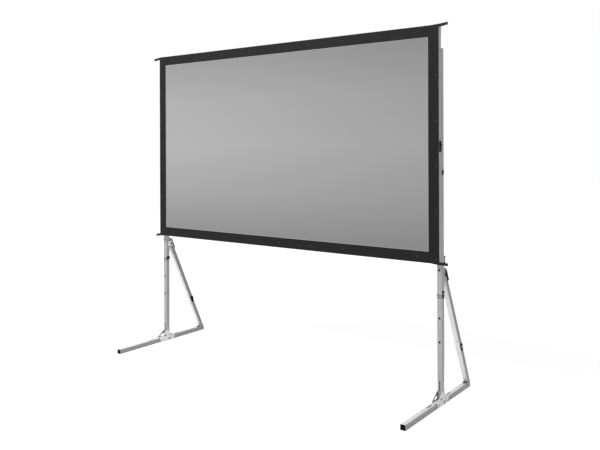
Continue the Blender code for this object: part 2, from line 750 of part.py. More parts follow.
def make_leg_top(side, body):
    s = SIDES[side]
    x = s * SIDE_X
    low = UPPER_JOINT_Z + JOINT_GAP / 2
    high = FRAME_TOP - LEG_TOP_DROP - CAP_RIM
    tube = square_tube((x, LEG_Y, low), (x, LEG_Y, high), (1, 0, 0))
    place = Vector((x + s * (HALF_TUBE + HINGE_OFFSET), LEG_Y, UPPER_JOINT_Z))
    joined, cuts = bored_leaf(frame_from(place, Vector((0, 0, 1)), Vector((s, 0, 0))))
    piece(f"{side}_leg_top_tube", body, "aluminium", tube, joined, cuts)
    make_plug(f"{side}_leg_top_cap", body, (x, LEG_Y, high), (0, 0, 1), (1, 0, 0))


def make_leg_lower(side, body):
    s = SIDES[side]
    x = s * SIDE_X
    high = LOWER_JOINT_Z - JOINT_GAP / 2
    tube = square_tube((x, LEG_Y, FOOT_TOP + SEAT), (x, LEG_Y, high), (1, 0, 0))
    place = Vector((x - s * (HALF_TUBE + HINGE_OFFSET), LEG_Y, LOWER_JOINT_Z))
    joined, cuts = bored_leaf(frame_from(place, Vector((0, 0, -1)), Vector((-s, 0, 0))))
    for height in HOLE_HEIGHTS:
        if height < LEG_LOWER_JOINT:
            cuts.append(front_hole(x, SCREEN_LIFT + height))
    slot = SCREEN_LIFT + SLOT_HEIGHT
    half = Vector((SLOT_WIDTH / 2, 0, SLOT_LENGTH / 2))
    cuts.append(block(Vector((x, LEG_FRONT - OVERRUN, slot)) - half, Vector((x, LEG_Y, slot)) + half))
    piece(f"{side}_leg_lower_tube", body, "aluminium", tube, joined, cuts)
    make_bracket(side, body)


def bracket_outlines():
    """A-shaped plate beside leg and foot, Y from the leg's centre line, Z from the floor."""
    low = BRACKET_FLOOR_GAP
    lobe = low + BRACKET_LOBE_CUT
    front = -BRACKET_FRONT_REACH
    rear = BRACKET_REAR_REACH
    outer = [(-HALF_TUBE, BRACKET_TOP), (front, FOOT_TOP + BRACKET_RIB), (front, lobe)]
    outer += [(front + BRACKET_LOBE_CUT, low), (rear - BRACKET_LOBE_CUT, low), (rear, lobe)]
    outer += [(rear, FOOT_TOP + BRACKET_RIB), (HALF_TUBE, BRACKET_SHOULDER + BRACKET_RIB)]
    outer += [(HALF_TUBE, BRACKET_TOP)]
    edge = HALF_TUBE + BRACKET_RIB
    sill = FOOT_TOP + BRACKET_RIB
    front_window = [(-edge, BRACKET_SHOULDER), (-edge, sill), (-BRACKET_FRONT_INNER, sill)]
    rear_window = [(edge, sill), (edge, BRACKET_SHOULDER - BRACKET_RIB * 2), (BRACKET_REAR_INNER, sill)]
    return [outer, front_window, rear_window]


def cross_bolt(x, y, z, reach):
    return rod((x - reach, y, z), (x + reach, y, z), BRACKET_BOLT_RADIUS)


def bolt_heads(x, y, z, start, reach):
    """Heads on both sides of the leg, from start to reach either side of its centre line."""
    heads = []
    for hand in SIDES.values():
        heads.append(rod((x + hand * start, y, z), (x + hand * reach, y, z), BRACKET_HEAD_RADIUS))
    return heads


def make_bracket(side, body):
    """Two A-shaped plates joined by the bolt that the foot turns on."""
    x = SIDES[side] * SIDE_X
    offset = HALF_TUBE + SEAT + BRACKET_THICKNESS / 2
    outlines = bracket_outlines()
    plates = []
    for hand in SIDES.values():
        frame = frame_from((x + hand * offset, LEG_Y, 0), Vector((0, 1, 0)), Vector((1, 0, 0)))
        plates.append(outline_solid(outlines, BRACKET_THICKNESS, frame))
    face = offset + BRACKET_THICKNESS / 2
    reach = face + BRACKET_HEAD
    joined = [plates[1], cross_bolt(x, FRONT_BOLT_Y, FOOT_MIDDLE, face + BRACKET_HEAD / 2)]
    joined += bolt_heads(x, FRONT_BOLT_Y, FOOT_MIDDLE, offset, reach)
    joined += bolt_heads(x, LEG_Y, LEG_BOLT_HEIGHT, offset, reach)
    piece(f"{side}_foot_bracket", body, "aluminium", plates[0], joined, [bolt_notch(x, reach)])


def bolt_notch(x, reach):
    """Round-topped notch, open to the floor, that lets the foot's rear bolt swing down and out."""
    radius = BRACKET_BOLT_RADIUS + BOLT_CLEARANCE
    points = [(-radius, -FOOT_TOP), (radius, -FOOT_TOP)]
    for step in range(SMALL_SIDES // 2 + 1):
        angle = step * 2 * math.pi / SMALL_SIDES
        points.append((radius * math.cos(angle), radius * math.sin(angle)))
    frame = frame_from((x, REAR_BOLT_Y, FOOT_MIDDLE), Vector((0, 1, 0)), Vector((1, 0, 0)))
    return outline_solid([points], 2 * reach, frame)


def make_foot(side, body):
    x = SIDES[side] * SIDE_X
    end = FOOT_LENGTH / 2 - CAP_RIM
    tube = square_tube((x, -end, FOOT_MIDDLE), (x, end, FOOT_MIDDLE), (1, 0, 0))
    cuts = []
    wide = FOOT_SLOT_WIDTH / 2
    for start, length in FOOT_SLOTS:
        low = (x - wide, LEG_Y + start, FOOT_MIDDLE)
        cuts.append(block(low, (x + wide, LEG_Y + start + length, FOOT_TOP + OVERRUN)))
    inner = HALF_TUBE + OVERRUN
    radius = BRACKET_BOLT_RADIUS + BOLT_CLEARANCE
    start = (x - inner, FRONT_BOLT_Y, FOOT_MIDDLE)
    cuts.append(rod(start, (x + inner, FRONT_BOLT_Y, FOOT_MIDDLE), radius))
    near = HALF_TUBE + 2 * SEAT + BRACKET_THICKNESS
    far = near + BRACKET_HEAD
    joined = [cross_bolt(x, REAR_BOLT_Y, FOOT_MIDDLE, near + BRACKET_HEAD / 2)]
    joined += bolt_heads(x, REAR_BOLT_Y, FOOT_MIDDLE, near, far)
    piece(f"{side}_foot_tube", body, "aluminium", tube, joined, cuts)
    for name, direction in (("front", -1), ("rear", 1)):
        face = (x, direction * end, FOOT_MIDDLE)
        make_plug(f"{side}_foot_{name}_cap", body, face, (0, direction, 0), (1, 0, 0))
    frame = frame_from(foot_hinge(side), Vector((0, -1, 0)), Vector((0, 0, 1)))
    leaf = leaf_plate(frame, seated=False)
    piece(f"{side}_foot_hinge", body, "black_metal", leaf, pin_side(frame))


def brace_frame(side):
    """Origin on the brace's top pin, Z up along the brace and Y out of its rear face."""
    tilt = Matrix.Rotation(math.pi / 2 - BRACE_ANGLE, 4, "X")
    return Matrix.Translation((SIDES[side] * SIDE_X, PIN_Y, PIN_Z)) @ tilt


def foot_hinge(side):
    """Axis of the hinge under the brace, equally far from the foot's top and the brace's front."""
    out = HALF_TUBE + HINGE_OFFSET
    rise = FOOT_TOP + HINGE_OFFSET - PIN_Z + out * math.cos(BRACE_ANGLE)
    return brace_frame(side) @ Vector((0, -out, rise / math.sin(BRACE_ANGLE)))


def knee_axis(side):
    return brace_frame(side) @ Vector((0, HALF_TUBE + HINGE_OFFSET, -KNEE_BELOW_PIN))


def brace_direction(side, local):
    return (brace_frame(side).to_3x3() @ Vector(local)).normalized()


def brace_tube(side, low, high):
    frame = brace_frame(side)
    return square_tube(frame @ Vector((0, 0, low)), frame @ Vector((0, 0, high)), (1, 0, 0))


def brace_hole(side, height):
    frame = brace_frame(side)
    start = (0, -HALF_TUBE - OVERRUN, height)
    return rod(start, (0, 0, height), BRACE_HOLE_RADIUS, frame=frame)


def knee_wall(side):
    """On the brace's outer wall at the knee, X down the brace and Z outward."""
    s = SIDES[side]
    place = brace_frame(side) @ Vector((s * HALF_TUBE, 0, -KNEE_BELOW_PIN))
    return frame_from(place, brace_direction(side, (0, 0, -1)), Vector((s, 0, 0)))


def make_brace_lower(side, body):
    x = SIDES[side] * SIDE_X
    knee = -KNEE_BELOW_PIN
    down = brace_direction(side, (0, 0, -1))
    rear = brace_direction(side, (0, 1, 0))
    tube = brace_tube(side, -BRACE_REACH - TUBE, knee - JOINT_GAP / 2)
    joined, cuts = bored_leaf(frame_from(foot_hinge(side), -down, -rear))
    reach = Vector((TUBE, FOOT_LENGTH, 0))
    base = Vector((x, 0, 0))
    depth = Vector((0, 0, BRACE_TRIM))
    cuts.append(block(base - reach - depth, base + reach + Vector((0, 0, FOOT_TOP + 2 * SEAT))))
    cuts.append(lock_hole(knee_wall(side), KNEE_LOCK_FROM_JOINT))
    for from_knee in BRACE_HOLES_FROM_KNEE:
        if from_knee < 0:
            cuts.append(brace_hole(side, knee + from_knee))
    piece(f"{side}_brace_lower_tube", body, "aluminium", tube, joined, cuts)

    shapes = pin_side(frame_from(knee_axis(side), down, rear))
    joint = frame_from(brace_frame(side) @ Vector((0, 0, knee)), down, rear)
    for hand in SIDES.values():
        shapes.append(side_plate(joint, hand, KNEE_PLATE_PAST, KNEE_PLATE_REACH))
    hole = lock_hole(knee_wall(side), KNEE_LOCK_FROM_JOINT)
    piece(f"{side}_brace_knee", body, "black_metal", wrap(joint), shapes, [hole])


def make_brace_upper(side, body):
    s = SIDES[side]
    x = s * SIDE_X
    knee = -KNEE_BELOW_PIN
    up = brace_direction(side, (0, 0, 1))
    rear = brace_direction(side, (0, 1, 0))
    tube = brace_tube(side, knee + JOINT_GAP / 2, BRACE_TOP)
    joined, cuts = bored_leaf(frame_from(knee_axis(side), up, rear))
    reach = Vector((TUBE, 0, 2 * BRACE_TRIM))
    place = Vector((x, LEG_REAR + SEAT, PIN_Z))
    cuts.append(block(place - reach - Vector((0, BRACE_TRIM, 0)), place + reach))
    for from_knee in BRACE_HOLES_FROM_KNEE:
        if from_knee > 0:
            cuts.append(brace_hole(side, knee + from_knee))
    outer = x + s * (HALF_TUBE + BRACE_PIN_HEAD)
    inner = x - s * (HALF_TUBE + 2 * SEAT + EAR_THICKNESS + BRACE_PIN_HEAD / 2)
    pin = rod((outer, PIN_Y, PIN_Z), (inner, PIN_Y, PIN_Z), BRACE_PIN_RADIUS)
    start = (x + s * (HALF_TUBE - TUBE_WALL / 2), PIN_Y, PIN_Z)
    head = rod(start, (outer, PIN_Y, PIN_Z), BRACE_PIN_HEAD_RADIUS)
    ears = [latch_ear(side, hand) for hand in SIDES.values()]
    joined = [*joined, pin, head, *ears]
    piece(f"{side}_brace_upper_tube", body, "aluminium", tube, joined, cuts)


def latch_pivot_height():
    return LATCH_ABOVE_PIN - LATCH_PIVOT_INSET


def latch_axis(side):
    out = HALF_TUBE + LATCH_LIFT + LATCH_THICKNESS / 2
    return brace_frame(side) @ Vector((0, out, latch_pivot_height()))


def latch_ear(side, hand):
    """One of two small ears on the brace's rear face beside the latch lever."""
    near = hand * (LATCH_WIDTH / 2 + SEAT)
    far = near + hand * LATCH_EAR_THICKNESS
    low, high = sorted((near, far))
    z = latch_pivot_height()
    half = LATCH_EAR_LENGTH / 2
    bottom = HALF_TUBE - TUBE_WALL / 2
    top = HALF_TUBE + LATCH_EAR_HEIGHT
    return block((low, bottom, z - half), (high, top, z + half), brace_frame(side))


def make_latch(side, body):
    """Lever behind the brace with a lip that turns over the brace's outer wall below the ears."""
    s = SIDES[side]
    low = HALF_TUBE + LATCH_LIFT
    high = low + LATCH_THICKNESS
    half = LATCH_WIDTH / 2
    top = LATCH_ABOVE_PIN
    bottom = top - LATCH_LENGTH
    lever = block((-half, low, bottom), (half, high, top), brace_frame(side))
    near = s * (HALF_TUBE + SEAT)
    far = near + s * LATCH_WALL
    root = s * (half - OVERRUN)
    edge = HALF_TUBE - LATCH_FLANGE
    points = [(root, low + HINGE_TRIM), (near, low + HINGE_TRIM), (near, edge), (far, edge)]
    points += [(far, high - HINGE_TRIM), (root, high - HINGE_TRIM)]
    lip_top = latch_pivot_height() - LATCH_EAR_LENGTH / 2 - LATCH_FLANGE_BELOW_EARS
    lip_bottom = bottom + HINGE_TRIM
    middle = Matrix.Translation((0, 0, (lip_top + lip_bottom) / 2))
    lip = outline_solid([points], lip_top - lip_bottom, brace_frame(side) @ middle)
    piece(f"{side}_brace_latch", body, "black_metal", lever, [lip])


def make_leg(side, carrier):
    s = SIDES[side]
    x = s * SIDE_X
    middle = pivot(f"{side}_leg_release", (x, LEG_Y, KNOB_Z), carrier)
    make_leg_middle(side, middle)
    knob = pivot(f"{side}_knob_turn", (x, LEG_REAR, KNOB_Z), middle)
    make_knob(side, knob)
    outer = x + s * (HALF_TUBE + HINGE_OFFSET)
    inner = x - s * (HALF_TUBE + HINGE_OFFSET)
    top = pivot(f"{side}_leg_top_fold", (outer, LEG_Y, UPPER_JOINT_Z), middle)
    make_leg_top(side, top)
    wall = leg_wall(side)
    lock = pivot(f"{side}_leg_lock", wall @ Vector((LEG_LOCK_FROM_JOINT, 0, 0)), middle)
    make_lock(f"{side}_leg_lock_pin", lock, wall, LEG_LOCK_FROM_JOINT)
    lower = pivot(f"{side}_leg_fold", (inner, LEG_Y, LOWER_JOINT_Z), middle)
    make_leg_lower(side, lower)
    foot = pivot(f"{side}_foot_fold", (x, FRONT_BOLT_Y, FOOT_MIDDLE), lower)
    make_foot(side, foot)
    brace = pivot(f"{side}_brace_fold", foot_hinge(side), foot)
    make_brace_lower(side, brace)
    wall = knee_wall(side)
    lock = pivot(f"{side}_knee_lock", wall @ Vector((KNEE_LOCK_FROM_JOINT, 0, 0)), brace)
    make_lock(f"{side}_knee_lock_pin", lock, wall, KNEE_LOCK_FROM_JOINT)
    upper = pivot(f"{side}_brace_knee_fold", knee_axis(side), brace)
    make_brace_upper(side, upper)
    latch = pivot(f"{side}_latch_lift", latch_axis(side), upper)
    make_latch(side, latch)


def make_rails(root):
    """Both rails as chains of four sections. The last top joint carries the right side."""
    for level in LEVELS:
        carrier = root
        for index in range(RAIL_SECTIONS):
            carrier = pivot(f"{level}_rail_joint_{index}", joint_place(level, index), carrier)
            make_rail_section(level, index, carrier)
    return pivot("right_side", joint_place(level, RAIL_SECTIONS), carrier)


def main():
    clear_scene()
    make_material("aluminium", 0.62, 0.42, 1.0)
    make_material("black_metal", 0.02, 0.45, 0.0)
    make_material("black_fabric", 0.015, 0.8, 0.0)
    make_material("screen_grey", 0.38, 0.9, 0.0)
    make_material("bright_steel", 0.75, 0.25, 1.0)
    make_material("grey_plastic", 0.40, 0.5, 0.0)
    root = pivot("left_side", (0, 0, 0))
    surface = pivot("surface_unsnap", (0, BORDER_REAR, SCREEN_LIFT + OUTER_HEIGHT / 2), root)
    make_surface(surface)
    make_side("left", root)
    right_side = make_rails(root)
    make_side("right", right_side)
    make_leg("left", root)
    make_leg("right", right_side)


main()
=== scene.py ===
import math

import bmesh
import bpy
from mathutils import Matrix, Vector, noise


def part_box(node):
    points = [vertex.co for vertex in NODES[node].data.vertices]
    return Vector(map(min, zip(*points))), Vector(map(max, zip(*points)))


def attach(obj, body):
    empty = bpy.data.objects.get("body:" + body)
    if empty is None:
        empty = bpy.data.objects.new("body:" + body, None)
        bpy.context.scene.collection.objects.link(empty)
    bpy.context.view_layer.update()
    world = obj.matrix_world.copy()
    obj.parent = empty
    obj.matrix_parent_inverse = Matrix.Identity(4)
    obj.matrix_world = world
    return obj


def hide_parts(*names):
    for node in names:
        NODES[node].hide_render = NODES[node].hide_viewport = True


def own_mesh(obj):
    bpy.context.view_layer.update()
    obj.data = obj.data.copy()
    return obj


bl_info = {
    "name": "Portable Projection Screen",
    "version": (1, 0, 0),
    "blender": (4, 5, 0),
    "location": "View3D > Sidebar > Screen",
    "description": "Cloth, studs, metal finishes and stage for a folding projection screen on two legs",
    "category": "Object",
}

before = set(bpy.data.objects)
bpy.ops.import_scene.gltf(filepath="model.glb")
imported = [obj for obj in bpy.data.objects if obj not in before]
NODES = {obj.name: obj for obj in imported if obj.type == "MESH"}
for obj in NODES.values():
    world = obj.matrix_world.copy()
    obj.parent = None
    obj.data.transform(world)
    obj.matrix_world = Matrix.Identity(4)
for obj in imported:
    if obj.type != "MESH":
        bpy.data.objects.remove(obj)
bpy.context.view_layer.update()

SHEET_LOW, SHEET_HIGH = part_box("screen_surface")
LEFT_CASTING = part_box("left_bottom_corner")
RIGHT_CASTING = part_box("right_top_corner")
OUTER_LEFT = LEFT_CASTING[0].x
OUTER_RIGHT = RIGHT_CASTING[1].x
OUTER_BOTTOM = LEFT_CASTING[0].z
OUTER_TOP = RIGHT_CASTING[1].z
BORDER_REAR = SHEET_LOW.y - 0.0003
SIDES = {"left": -1, "right": 1}
LEVELS = {"bottom": 1, "top": -1}

# Half the width of a leg's tube, and the places on the legs that pieces are set on.
HALF_TUBE = 0.019
LEG_MIDDLES = {side: sum(c.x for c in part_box(f"{side}_leg_top_cap")) / 2 for side in SIDES}
LEG_FRONT = sum(c.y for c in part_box("left_leg_top_cap")) / 2 - HALF_TUBE
LOWER_JOINT_Z = 0.755
BUSH_HEIGHTS = {"leg": (0.936,), "leg_lower": (0.601, 0.435)}

# Place of the brace's pin from the rear of its ear, and of its two ends from the tube's walls.
EAR_BEHIND_PIN = 0.012
PIN_OUTER_END = 0.0016
PIN_INNER_END = 0.0034

# The floor's own light for the camera.
FLOOR_GLOW = 0.72
EVEN_GRAIN = (0.35, 0.35, 0.35)
BLACK_ENDINGS = (
    "_side_hinge", "_leg_upper_hinge", "_leg_lower_bracket", "_leg_top_cap", "_foot_front_cap",
    "_foot_rear_cap", "_foot_hinge", "_brace_knee", "_brace_latch",
)

# Where each pull tab ends: distance from the middle of the screen, and height over the tab's root.
TAB_TIPS = {
    ("left", "top"): (1.478, -0.010),
    ("left", "bottom"): (1.457, -0.013),
    ("right", "top"): (1.478, 0.012),
    ("right", "bottom"): (1.474, -0.008),
}
TAB_ROOT_X = 1.352
TAB_ROOT_INSET = 0.011


def length(name, default, description, low=0.0, high=10.0):
    return bpy.props.FloatProperty(
        name=name, description=description, default=default, min=low, max=high, unit="LENGTH", precision=4
    )


def share(name, default, description, high=1.0):
    return bpy.props.FloatProperty(name=name, description=description, default=default, min=0, max=high)


def count(name, default, description):
    return bpy.props.IntProperty(name=name, description=description, default=default, min=1)


def colour(name, default, description):
    return bpy.props.FloatVectorProperty(
        name=name, description=description, default=default, size=3, min=0, max=1, subtype="COLOR"
    )


class ScreenCloth(bpy.types.PropertyGroup):
    border_width: length("Border width", 0.080, "Width of the black border on every side")
    border_thickness: length("Border thickness", 0.0012, "Thickness of the border's coated cloth")
    hem_width: length("Hem width", 0.011, "Width of the doubled outer edge of the border")
    hem_rise: length("Hem rise", 0.0005, "How far the doubled edge stands out of the border")
    cell: length("Cloth cell", 0.010, "Spacing of the border's mesh")
    surface_cell: length("Surface cell", 0.055, "Spacing of the surface's mesh")
    slack: length("Slack", 0.0009, "How far the surface hangs back at its middle")
    pucker: length("Pucker", 0.0007, "Depth of the creases drawn between press studs")
    stitch: length("Stitch", 0.0042, "Length of one stitch with its gap")
    stud_pitch: length("Stud pitch", 0.310, "Distance between press studs along the top and bottom")
    stud_inset: length("Stud inset", 0.040, "Distance of the top and bottom studs from the cloth's edge")
    side_inset: length("Side stud inset", 0.022, "Distance of the side studs from the cloth's edge")
    corner_inset: length("Corner stud inset", 0.032, "Height of the last side stud from the cloth's corner")
    side_gaps: count("Side gaps", 5, "Gaps between the press studs of one side")
    studs_each_way: count("Studs each way", 4, "Press studs on each side of the middle one")
    cap_radius: length("Cap radius", 0.0075, "Radius of a press stud's cap")
    cap_sunk: length("Cap sunk", 0.0004, "How deep a cap sits in the border")
    # The surface greys hold a painted sheen band: the mid-height grey is painted lighter than the top and
    # bottom grey.
    surface_sheen_colour: colour("Surface", (0.392, 0.392, 0.392), "Grey of the projection surface at mid height")
    surface_edge: colour("Surface edge", (0.272, 0.272, 0.272), "Grey of the surface at its top and bottom")
    border_colour: colour("Border", (0.009, 0.009, 0.0095), "Black of the coated border cloth")
    stud_colour: colour("Studs", (0.050, 0.050, 0.052), "Dark lacquered metal of the press studs")
    tab_colour: colour("Webbing", (0.014, 0.014, 0.015), "Black of the pull tabs")


class ScreenMetal(bpy.types.PropertyGroup):
    tube_colour: colour("Tube", (0.40, 0.40, 0.405), "Mill-finish aluminium of the frame, legs and castings")
    # Painted light: braces, feet and foot brackets get a lighter copy of the tube's aluminium for the light
    # on their faces.
    lit_brace_colour: colour("Brace", (0.80, 0.80, 0.805), "Paler aluminium of the braces and feet")
    tube_roughness: share("Tube roughness", 0.42, "Roughness of the drawn tubes")
    wear: share("Edge wear", 0.45, "How bright the worn edges are")
    black_colour: colour("Black plate", (0.003, 0.003, 0.0033), "Black coat of hinges, caps and latches")
    bright_colour: colour("Bright plate", (0.62, 0.62, 0.63), "Plated steel of plungers and ears")
    grip_colour: colour("Grip", (0.50, 0.42, 0.43), "Grey of the T-handles' bar, with a faint red tint")
    rivet_radius: length("Rivet radius", 0.0022, "Radius of the rivets in the hinge leaves")
    bush_radius: length("Bush radius", 0.0078, "Radius of the black bush in each leg hole")
    bush_bore: length("Bush bore", 0.0052, "Radius of the opening in a bush")
    pin_cap: length("Pin cap", 0.0088, "Radius of the black caps on a brace's pin")
    band_height: length("Band height", 0.016, "Height of the bands at the lower leg joint")
    handle_end: length("Handle end", 0.0090, "Radius of the thicker ends of the T-handles")
    # Painted shade: how much darker the left- and right-facing walls of braces and feet are drawn.
    side_shade: share("Side shade", 0.62, "How dark the unbrushed side walls of braces and feet are")


class ScreenStage(bpy.types.PropertyGroup):
    camera_place: bpy.props.FloatVectorProperty(
        name="Camera", description="Place of the camera", default=(3.4742, -4.4010, 1.7849), size=3,
        unit="LENGTH",
    )
    camera_yaw: bpy.props.FloatProperty(
        name="Yaw", description="Turn of the camera to the left", default=0.638782, unit="ROTATION"
    )
    camera_roll: bpy.props.FloatProperty(
        name="Roll", description="Tilt of the horizon", default=-0.0033527, unit="ROTATION"
    )
    lens: bpy.props.FloatProperty(name="Lens", description="Focal length in mm", default=41.398, min=1)
    shift: bpy.props.FloatProperty(name="Shift", description="Vertical shift of the lens", default=-0.1272)
    floor_size: length("Floor", 60.0, "Side of the floor", high=500.0)
    key_power: bpy.props.FloatProperty(name="Key", description="Power of the light above", default=470.0)
    world_power: share("World", 0.34, "Brightness of the room", high=4.0)


def cloth():
    return bpy.context.scene.screen_cloth


def metal():
    return bpy.context.scene.screen_metal


def rgba(values):
    return (*values, 1.0)


class Nodes:
    """Short hand for building one node tree."""

    def __init__(self, tree):
        self.tree = tree

    def add(self, kind, **values):
        node = self.tree.nodes.new(kind)
        for name, value in values.items():
            setattr(node, name, value)
        return node

    def link(self, source, target):
        self.tree.links.new(source, target)

    def fill(self, socket, value):
        if isinstance(value, bpy.types.NodeSocket):
            self.link(value, socket)
        else:
            socket.default_value = value

    def put(self, node, **inputs):
        for name, value in inputs.items():
            self.fill(node.inputs[name.replace("_", " ")], value)
        return node

    def local(self, name="Object"):
        return self.add("ShaderNodeTexCoord").outputs[name]

    def noise(self, scale, detail, vector=None, **inputs):
        """Fractal noise, on the piece's own coordinates unless a vector is given."""
        vector = vector or self.local()
        return self.put(self.add("ShaderNodeTexNoise"), Vector=vector, Scale=scale, Detail=detail, **inputs)

    def axes(self, vector):
        return self.put(self.add("ShaderNodeSeparateXYZ"), Vector=vector).outputs

    def math(self, operation, first, second=0.0, clamp=False):
        node = self.add("ShaderNodeMath", operation=operation, use_clamp=clamp)
        for socket, value in zip(node.inputs, (first, second)):
            self.fill(socket, value)
        return node.outputs[0]

    def mix(self, factor, first, second):
        node = self.add("ShaderNodeMix", data_type="RGBA")
        for name, value in (("Factor", factor), ("A", first), ("B", second)):
            self.fill(next(s for s in node.inputs if s.name == name and s.enabled), value)
        return next(s for s in node.outputs if s.enabled)

    def ramp(self, factor, stops):
        node = self.add("ShaderNodeValToRGB")
        elements = node.color_ramp.elements
        while len(elements) < len(stops):
            elements.new(0.5)
        for element, (position, value) in zip(elements, stops):
            element.position = position
            element.color = rgba(value) if hasattr(value, "__len__") else (value, value, value, 1)
        self.link(factor, node.inputs["Fac"])
        return node.outputs["Color"]

    def group(self, tree, **inputs):
        return self.put(self.add("ShaderNodeGroup", node_tree=tree), **inputs)


def made_once(build):
    """Build a material the first time its name is asked for, and hand back the same one afterwards."""
    return lambda name, *values: bpy.data.materials.get(name) or build(name, *values)


def group_once(name):
    """Build a shader group of this name on the first call, and hand back the same one afterwards."""

    def decorate(build):
        return lambda: bpy.data.node_groups.get(name) or build(name)

    return decorate


def new_group(name, inputs, outputs):
    """An empty shader group with float or vector inputs and float outputs."""
    tree = bpy.data.node_groups.new(name, "ShaderNodeTree")
    for label, default in inputs.items():
        kind = "NodeSocketVector" if isinstance(default, tuple) else "NodeSocketFloat"
        tree.interface.new_socket(label, in_out="INPUT", socket_type=kind).default_value = default
    for label in outputs:
        tree.interface.new_socket(label, in_out="OUTPUT", socket_type="NodeSocketFloat")
    nodes = Nodes(tree)
    return tree, nodes, nodes.add("NodeGroupInput").outputs, nodes.add("NodeGroupOutput").inputs


@group_once("Edge Wear")
def edge_wear_group(name):
    """Mask of convex edges, broken up by a fine noise."""
    tree, nodes, given, result = new_group(name, {"Width": 0.0012, "Break": 60.0, "Amount": 0.5}, ["Mask"])
    bevel = nodes.put(nodes.add("ShaderNodeBevel", samples=4), Radius=given["Width"])
    geometry = nodes.add("ShaderNodeNewGeometry")
    turned = nodes.add("ShaderNodeVectorMath", operation="DOT_PRODUCT")
    nodes.link(bevel.outputs["Normal"], turned.inputs[0])
    nodes.link(geometry.outputs["Normal"], turned.inputs[1])
    edge = nodes.math("SUBTRACT", 1.0, turned.outputs["Value"])
    strong = nodes.math("MULTIPLY", edge, 9.0, clamp=True)
    speckle = nodes.noise(given["Break"], 3.0)
    broken = nodes.math("MULTIPLY", strong, nodes.math("MULTIPLY", speckle.outputs["Fac"], 1.7, clamp=True))
    nodes.link(nodes.math("MULTIPLY", broken, given["Amount"], clamp=True), result["Mask"])
    return tree


@group_once("Drawn Grain")
def drawn_grain_group(name):
    """Long faint die lines along one axis of a tube, and blotches of oxide."""
    inputs = {"Fineness": 900.0, "Stretch": (1.0, 1.0, 0.02), "Blotch Scale": 7.0}
    tree, nodes, given, result = new_group(name, inputs, ["Grain", "Blotch"])
    stretched = nodes.add("ShaderNodeVectorMath", operation="MULTIPLY")
    nodes.link(nodes.local(), stretched.inputs[0])
    nodes.link(given["Stretch"], stretched.inputs[1])
    grain = nodes.noise(given["Fineness"], 2.0, stretched.outputs[0])
    blotch = nodes.noise(given["Blotch Scale"], 5.0)
    nodes.link(grain.outputs["Fac"], result["Grain"])
    nodes.link(blotch.outputs["Fac"], result["Blotch"])
    return tree


@group_once("Plain Weave")
def weave_group(name):
    """Plain weave seen from the front: crossing threads as a height, and flecks of its colour."""
    tree, nodes, given, result = new_group(name, {"Threads": 900.0, "Fray": 0.15}, ["Height", "Fleck"])
    axes = nodes.axes(nodes.local())
    across = nodes.math("MULTIPLY", axes["X"], given["Threads"])
    up = nodes.math("MULTIPLY", axes["Z"], given["Threads"])
    warp = nodes.math("SINE", nodes.math("MULTIPLY", across, math.pi))
    weft = nodes.math("SINE", nodes.math("MULTIPLY", up, math.pi))
    product = nodes.math("MULTIPLY", warp, weft)
    fleck = nodes.noise(260.0, 4.0, Roughness=0.7)
    frayed = nodes.math("MULTIPLY", fleck.outputs["Fac"], given["Fray"])
    nodes.link(nodes.math("ADD", nodes.math("MULTIPLY", product, 0.5), frayed), result["Height"])
    nodes.link(fleck.outputs["Fac"], result["Fleck"])
    return tree


@group_once("Dust")
def dust_group(name):
    """Soft patches of dust that lie thicker on faces that look up."""
    tree, nodes, given, result = new_group(name, {"Scale": 14.0, "Amount": 0.2}, ["Mask"])
    geometry = nodes.add("ShaderNodeNewGeometry")
    facing = nodes.axes(geometry.outputs["Normal"])
    up = nodes.math("ADD", nodes.math("MULTIPLY", facing["Z"], 0.5), 0.5)
    patches = nodes.noise(given["Scale"], 6.0)
    thick = nodes.math("SUBTRACT", nodes.math("MULTIPLY", patches.outputs["Fac"], 2.0), 0.55, clamp=True)
    nodes.link(nodes.math("MULTIPLY", nodes.math("MULTIPLY", thick, up), given["Amount"]), result["Mask"])
    return tree


@group_once("Side Wall")
def side_shade_wall_group(name):
    """Mask of the walls that face left and right on a tube at rest, with a soft change at the corners, for
    painted shade.
    """
    tree, nodes, given, result = new_group(name, {"Sharpness": 3.0}, ["Mask"])
    facing = nodes.axes(nodes.local("Normal"))
    sideways = nodes.math("SUBTRACT", nodes.math("ABSOLUTE", facing["X"]), 0.6)
    nodes.link(nodes.math("MULTIPLY", sideways, given["Sharpness"], clamp=True), result["Mask"])
    return tree


@group_once("Recess")
def recess_shade_group(name):
    """Mask of places that hardly any open air reaches, such as the bore behind a hole in a tube, for painted
    shade.
    """
    tree, nodes, given, result = new_group(name, {"Reach": 0.06}, ["Mask"])
    open_air = nodes.put(nodes.add("ShaderNodeAmbientOcclusion", samples=8), Distance=given["Reach"])
    depth = nodes.math("MULTIPLY", nodes.math("SUBTRACT", 0.44, open_air.outputs["AO"]), 6.0, clamp=True)
    nodes.link(depth, result["Mask"])
    return tree


def new_material(name):
    material = bpy.data.materials.new(name)
    material.use_nodes = True
    nodes = Nodes(material.node_tree)
    return material, nodes, material.node_tree.nodes["Principled BSDF"]


def shades(base, low, dark, high, light):
    """Ramp stops from a darker to a lighter shade of a colour."""
    return [(low, [c * dark for c in base]), (high, [c * light for c in base])]


def bump(nodes, shader, height, distance, strength=1.0):
    node = nodes.put(nodes.add("ShaderNodeBump"), Height=height, Distance=distance, Strength=strength)
    nodes.link(node.outputs["Normal"], shader.inputs["Normal"])


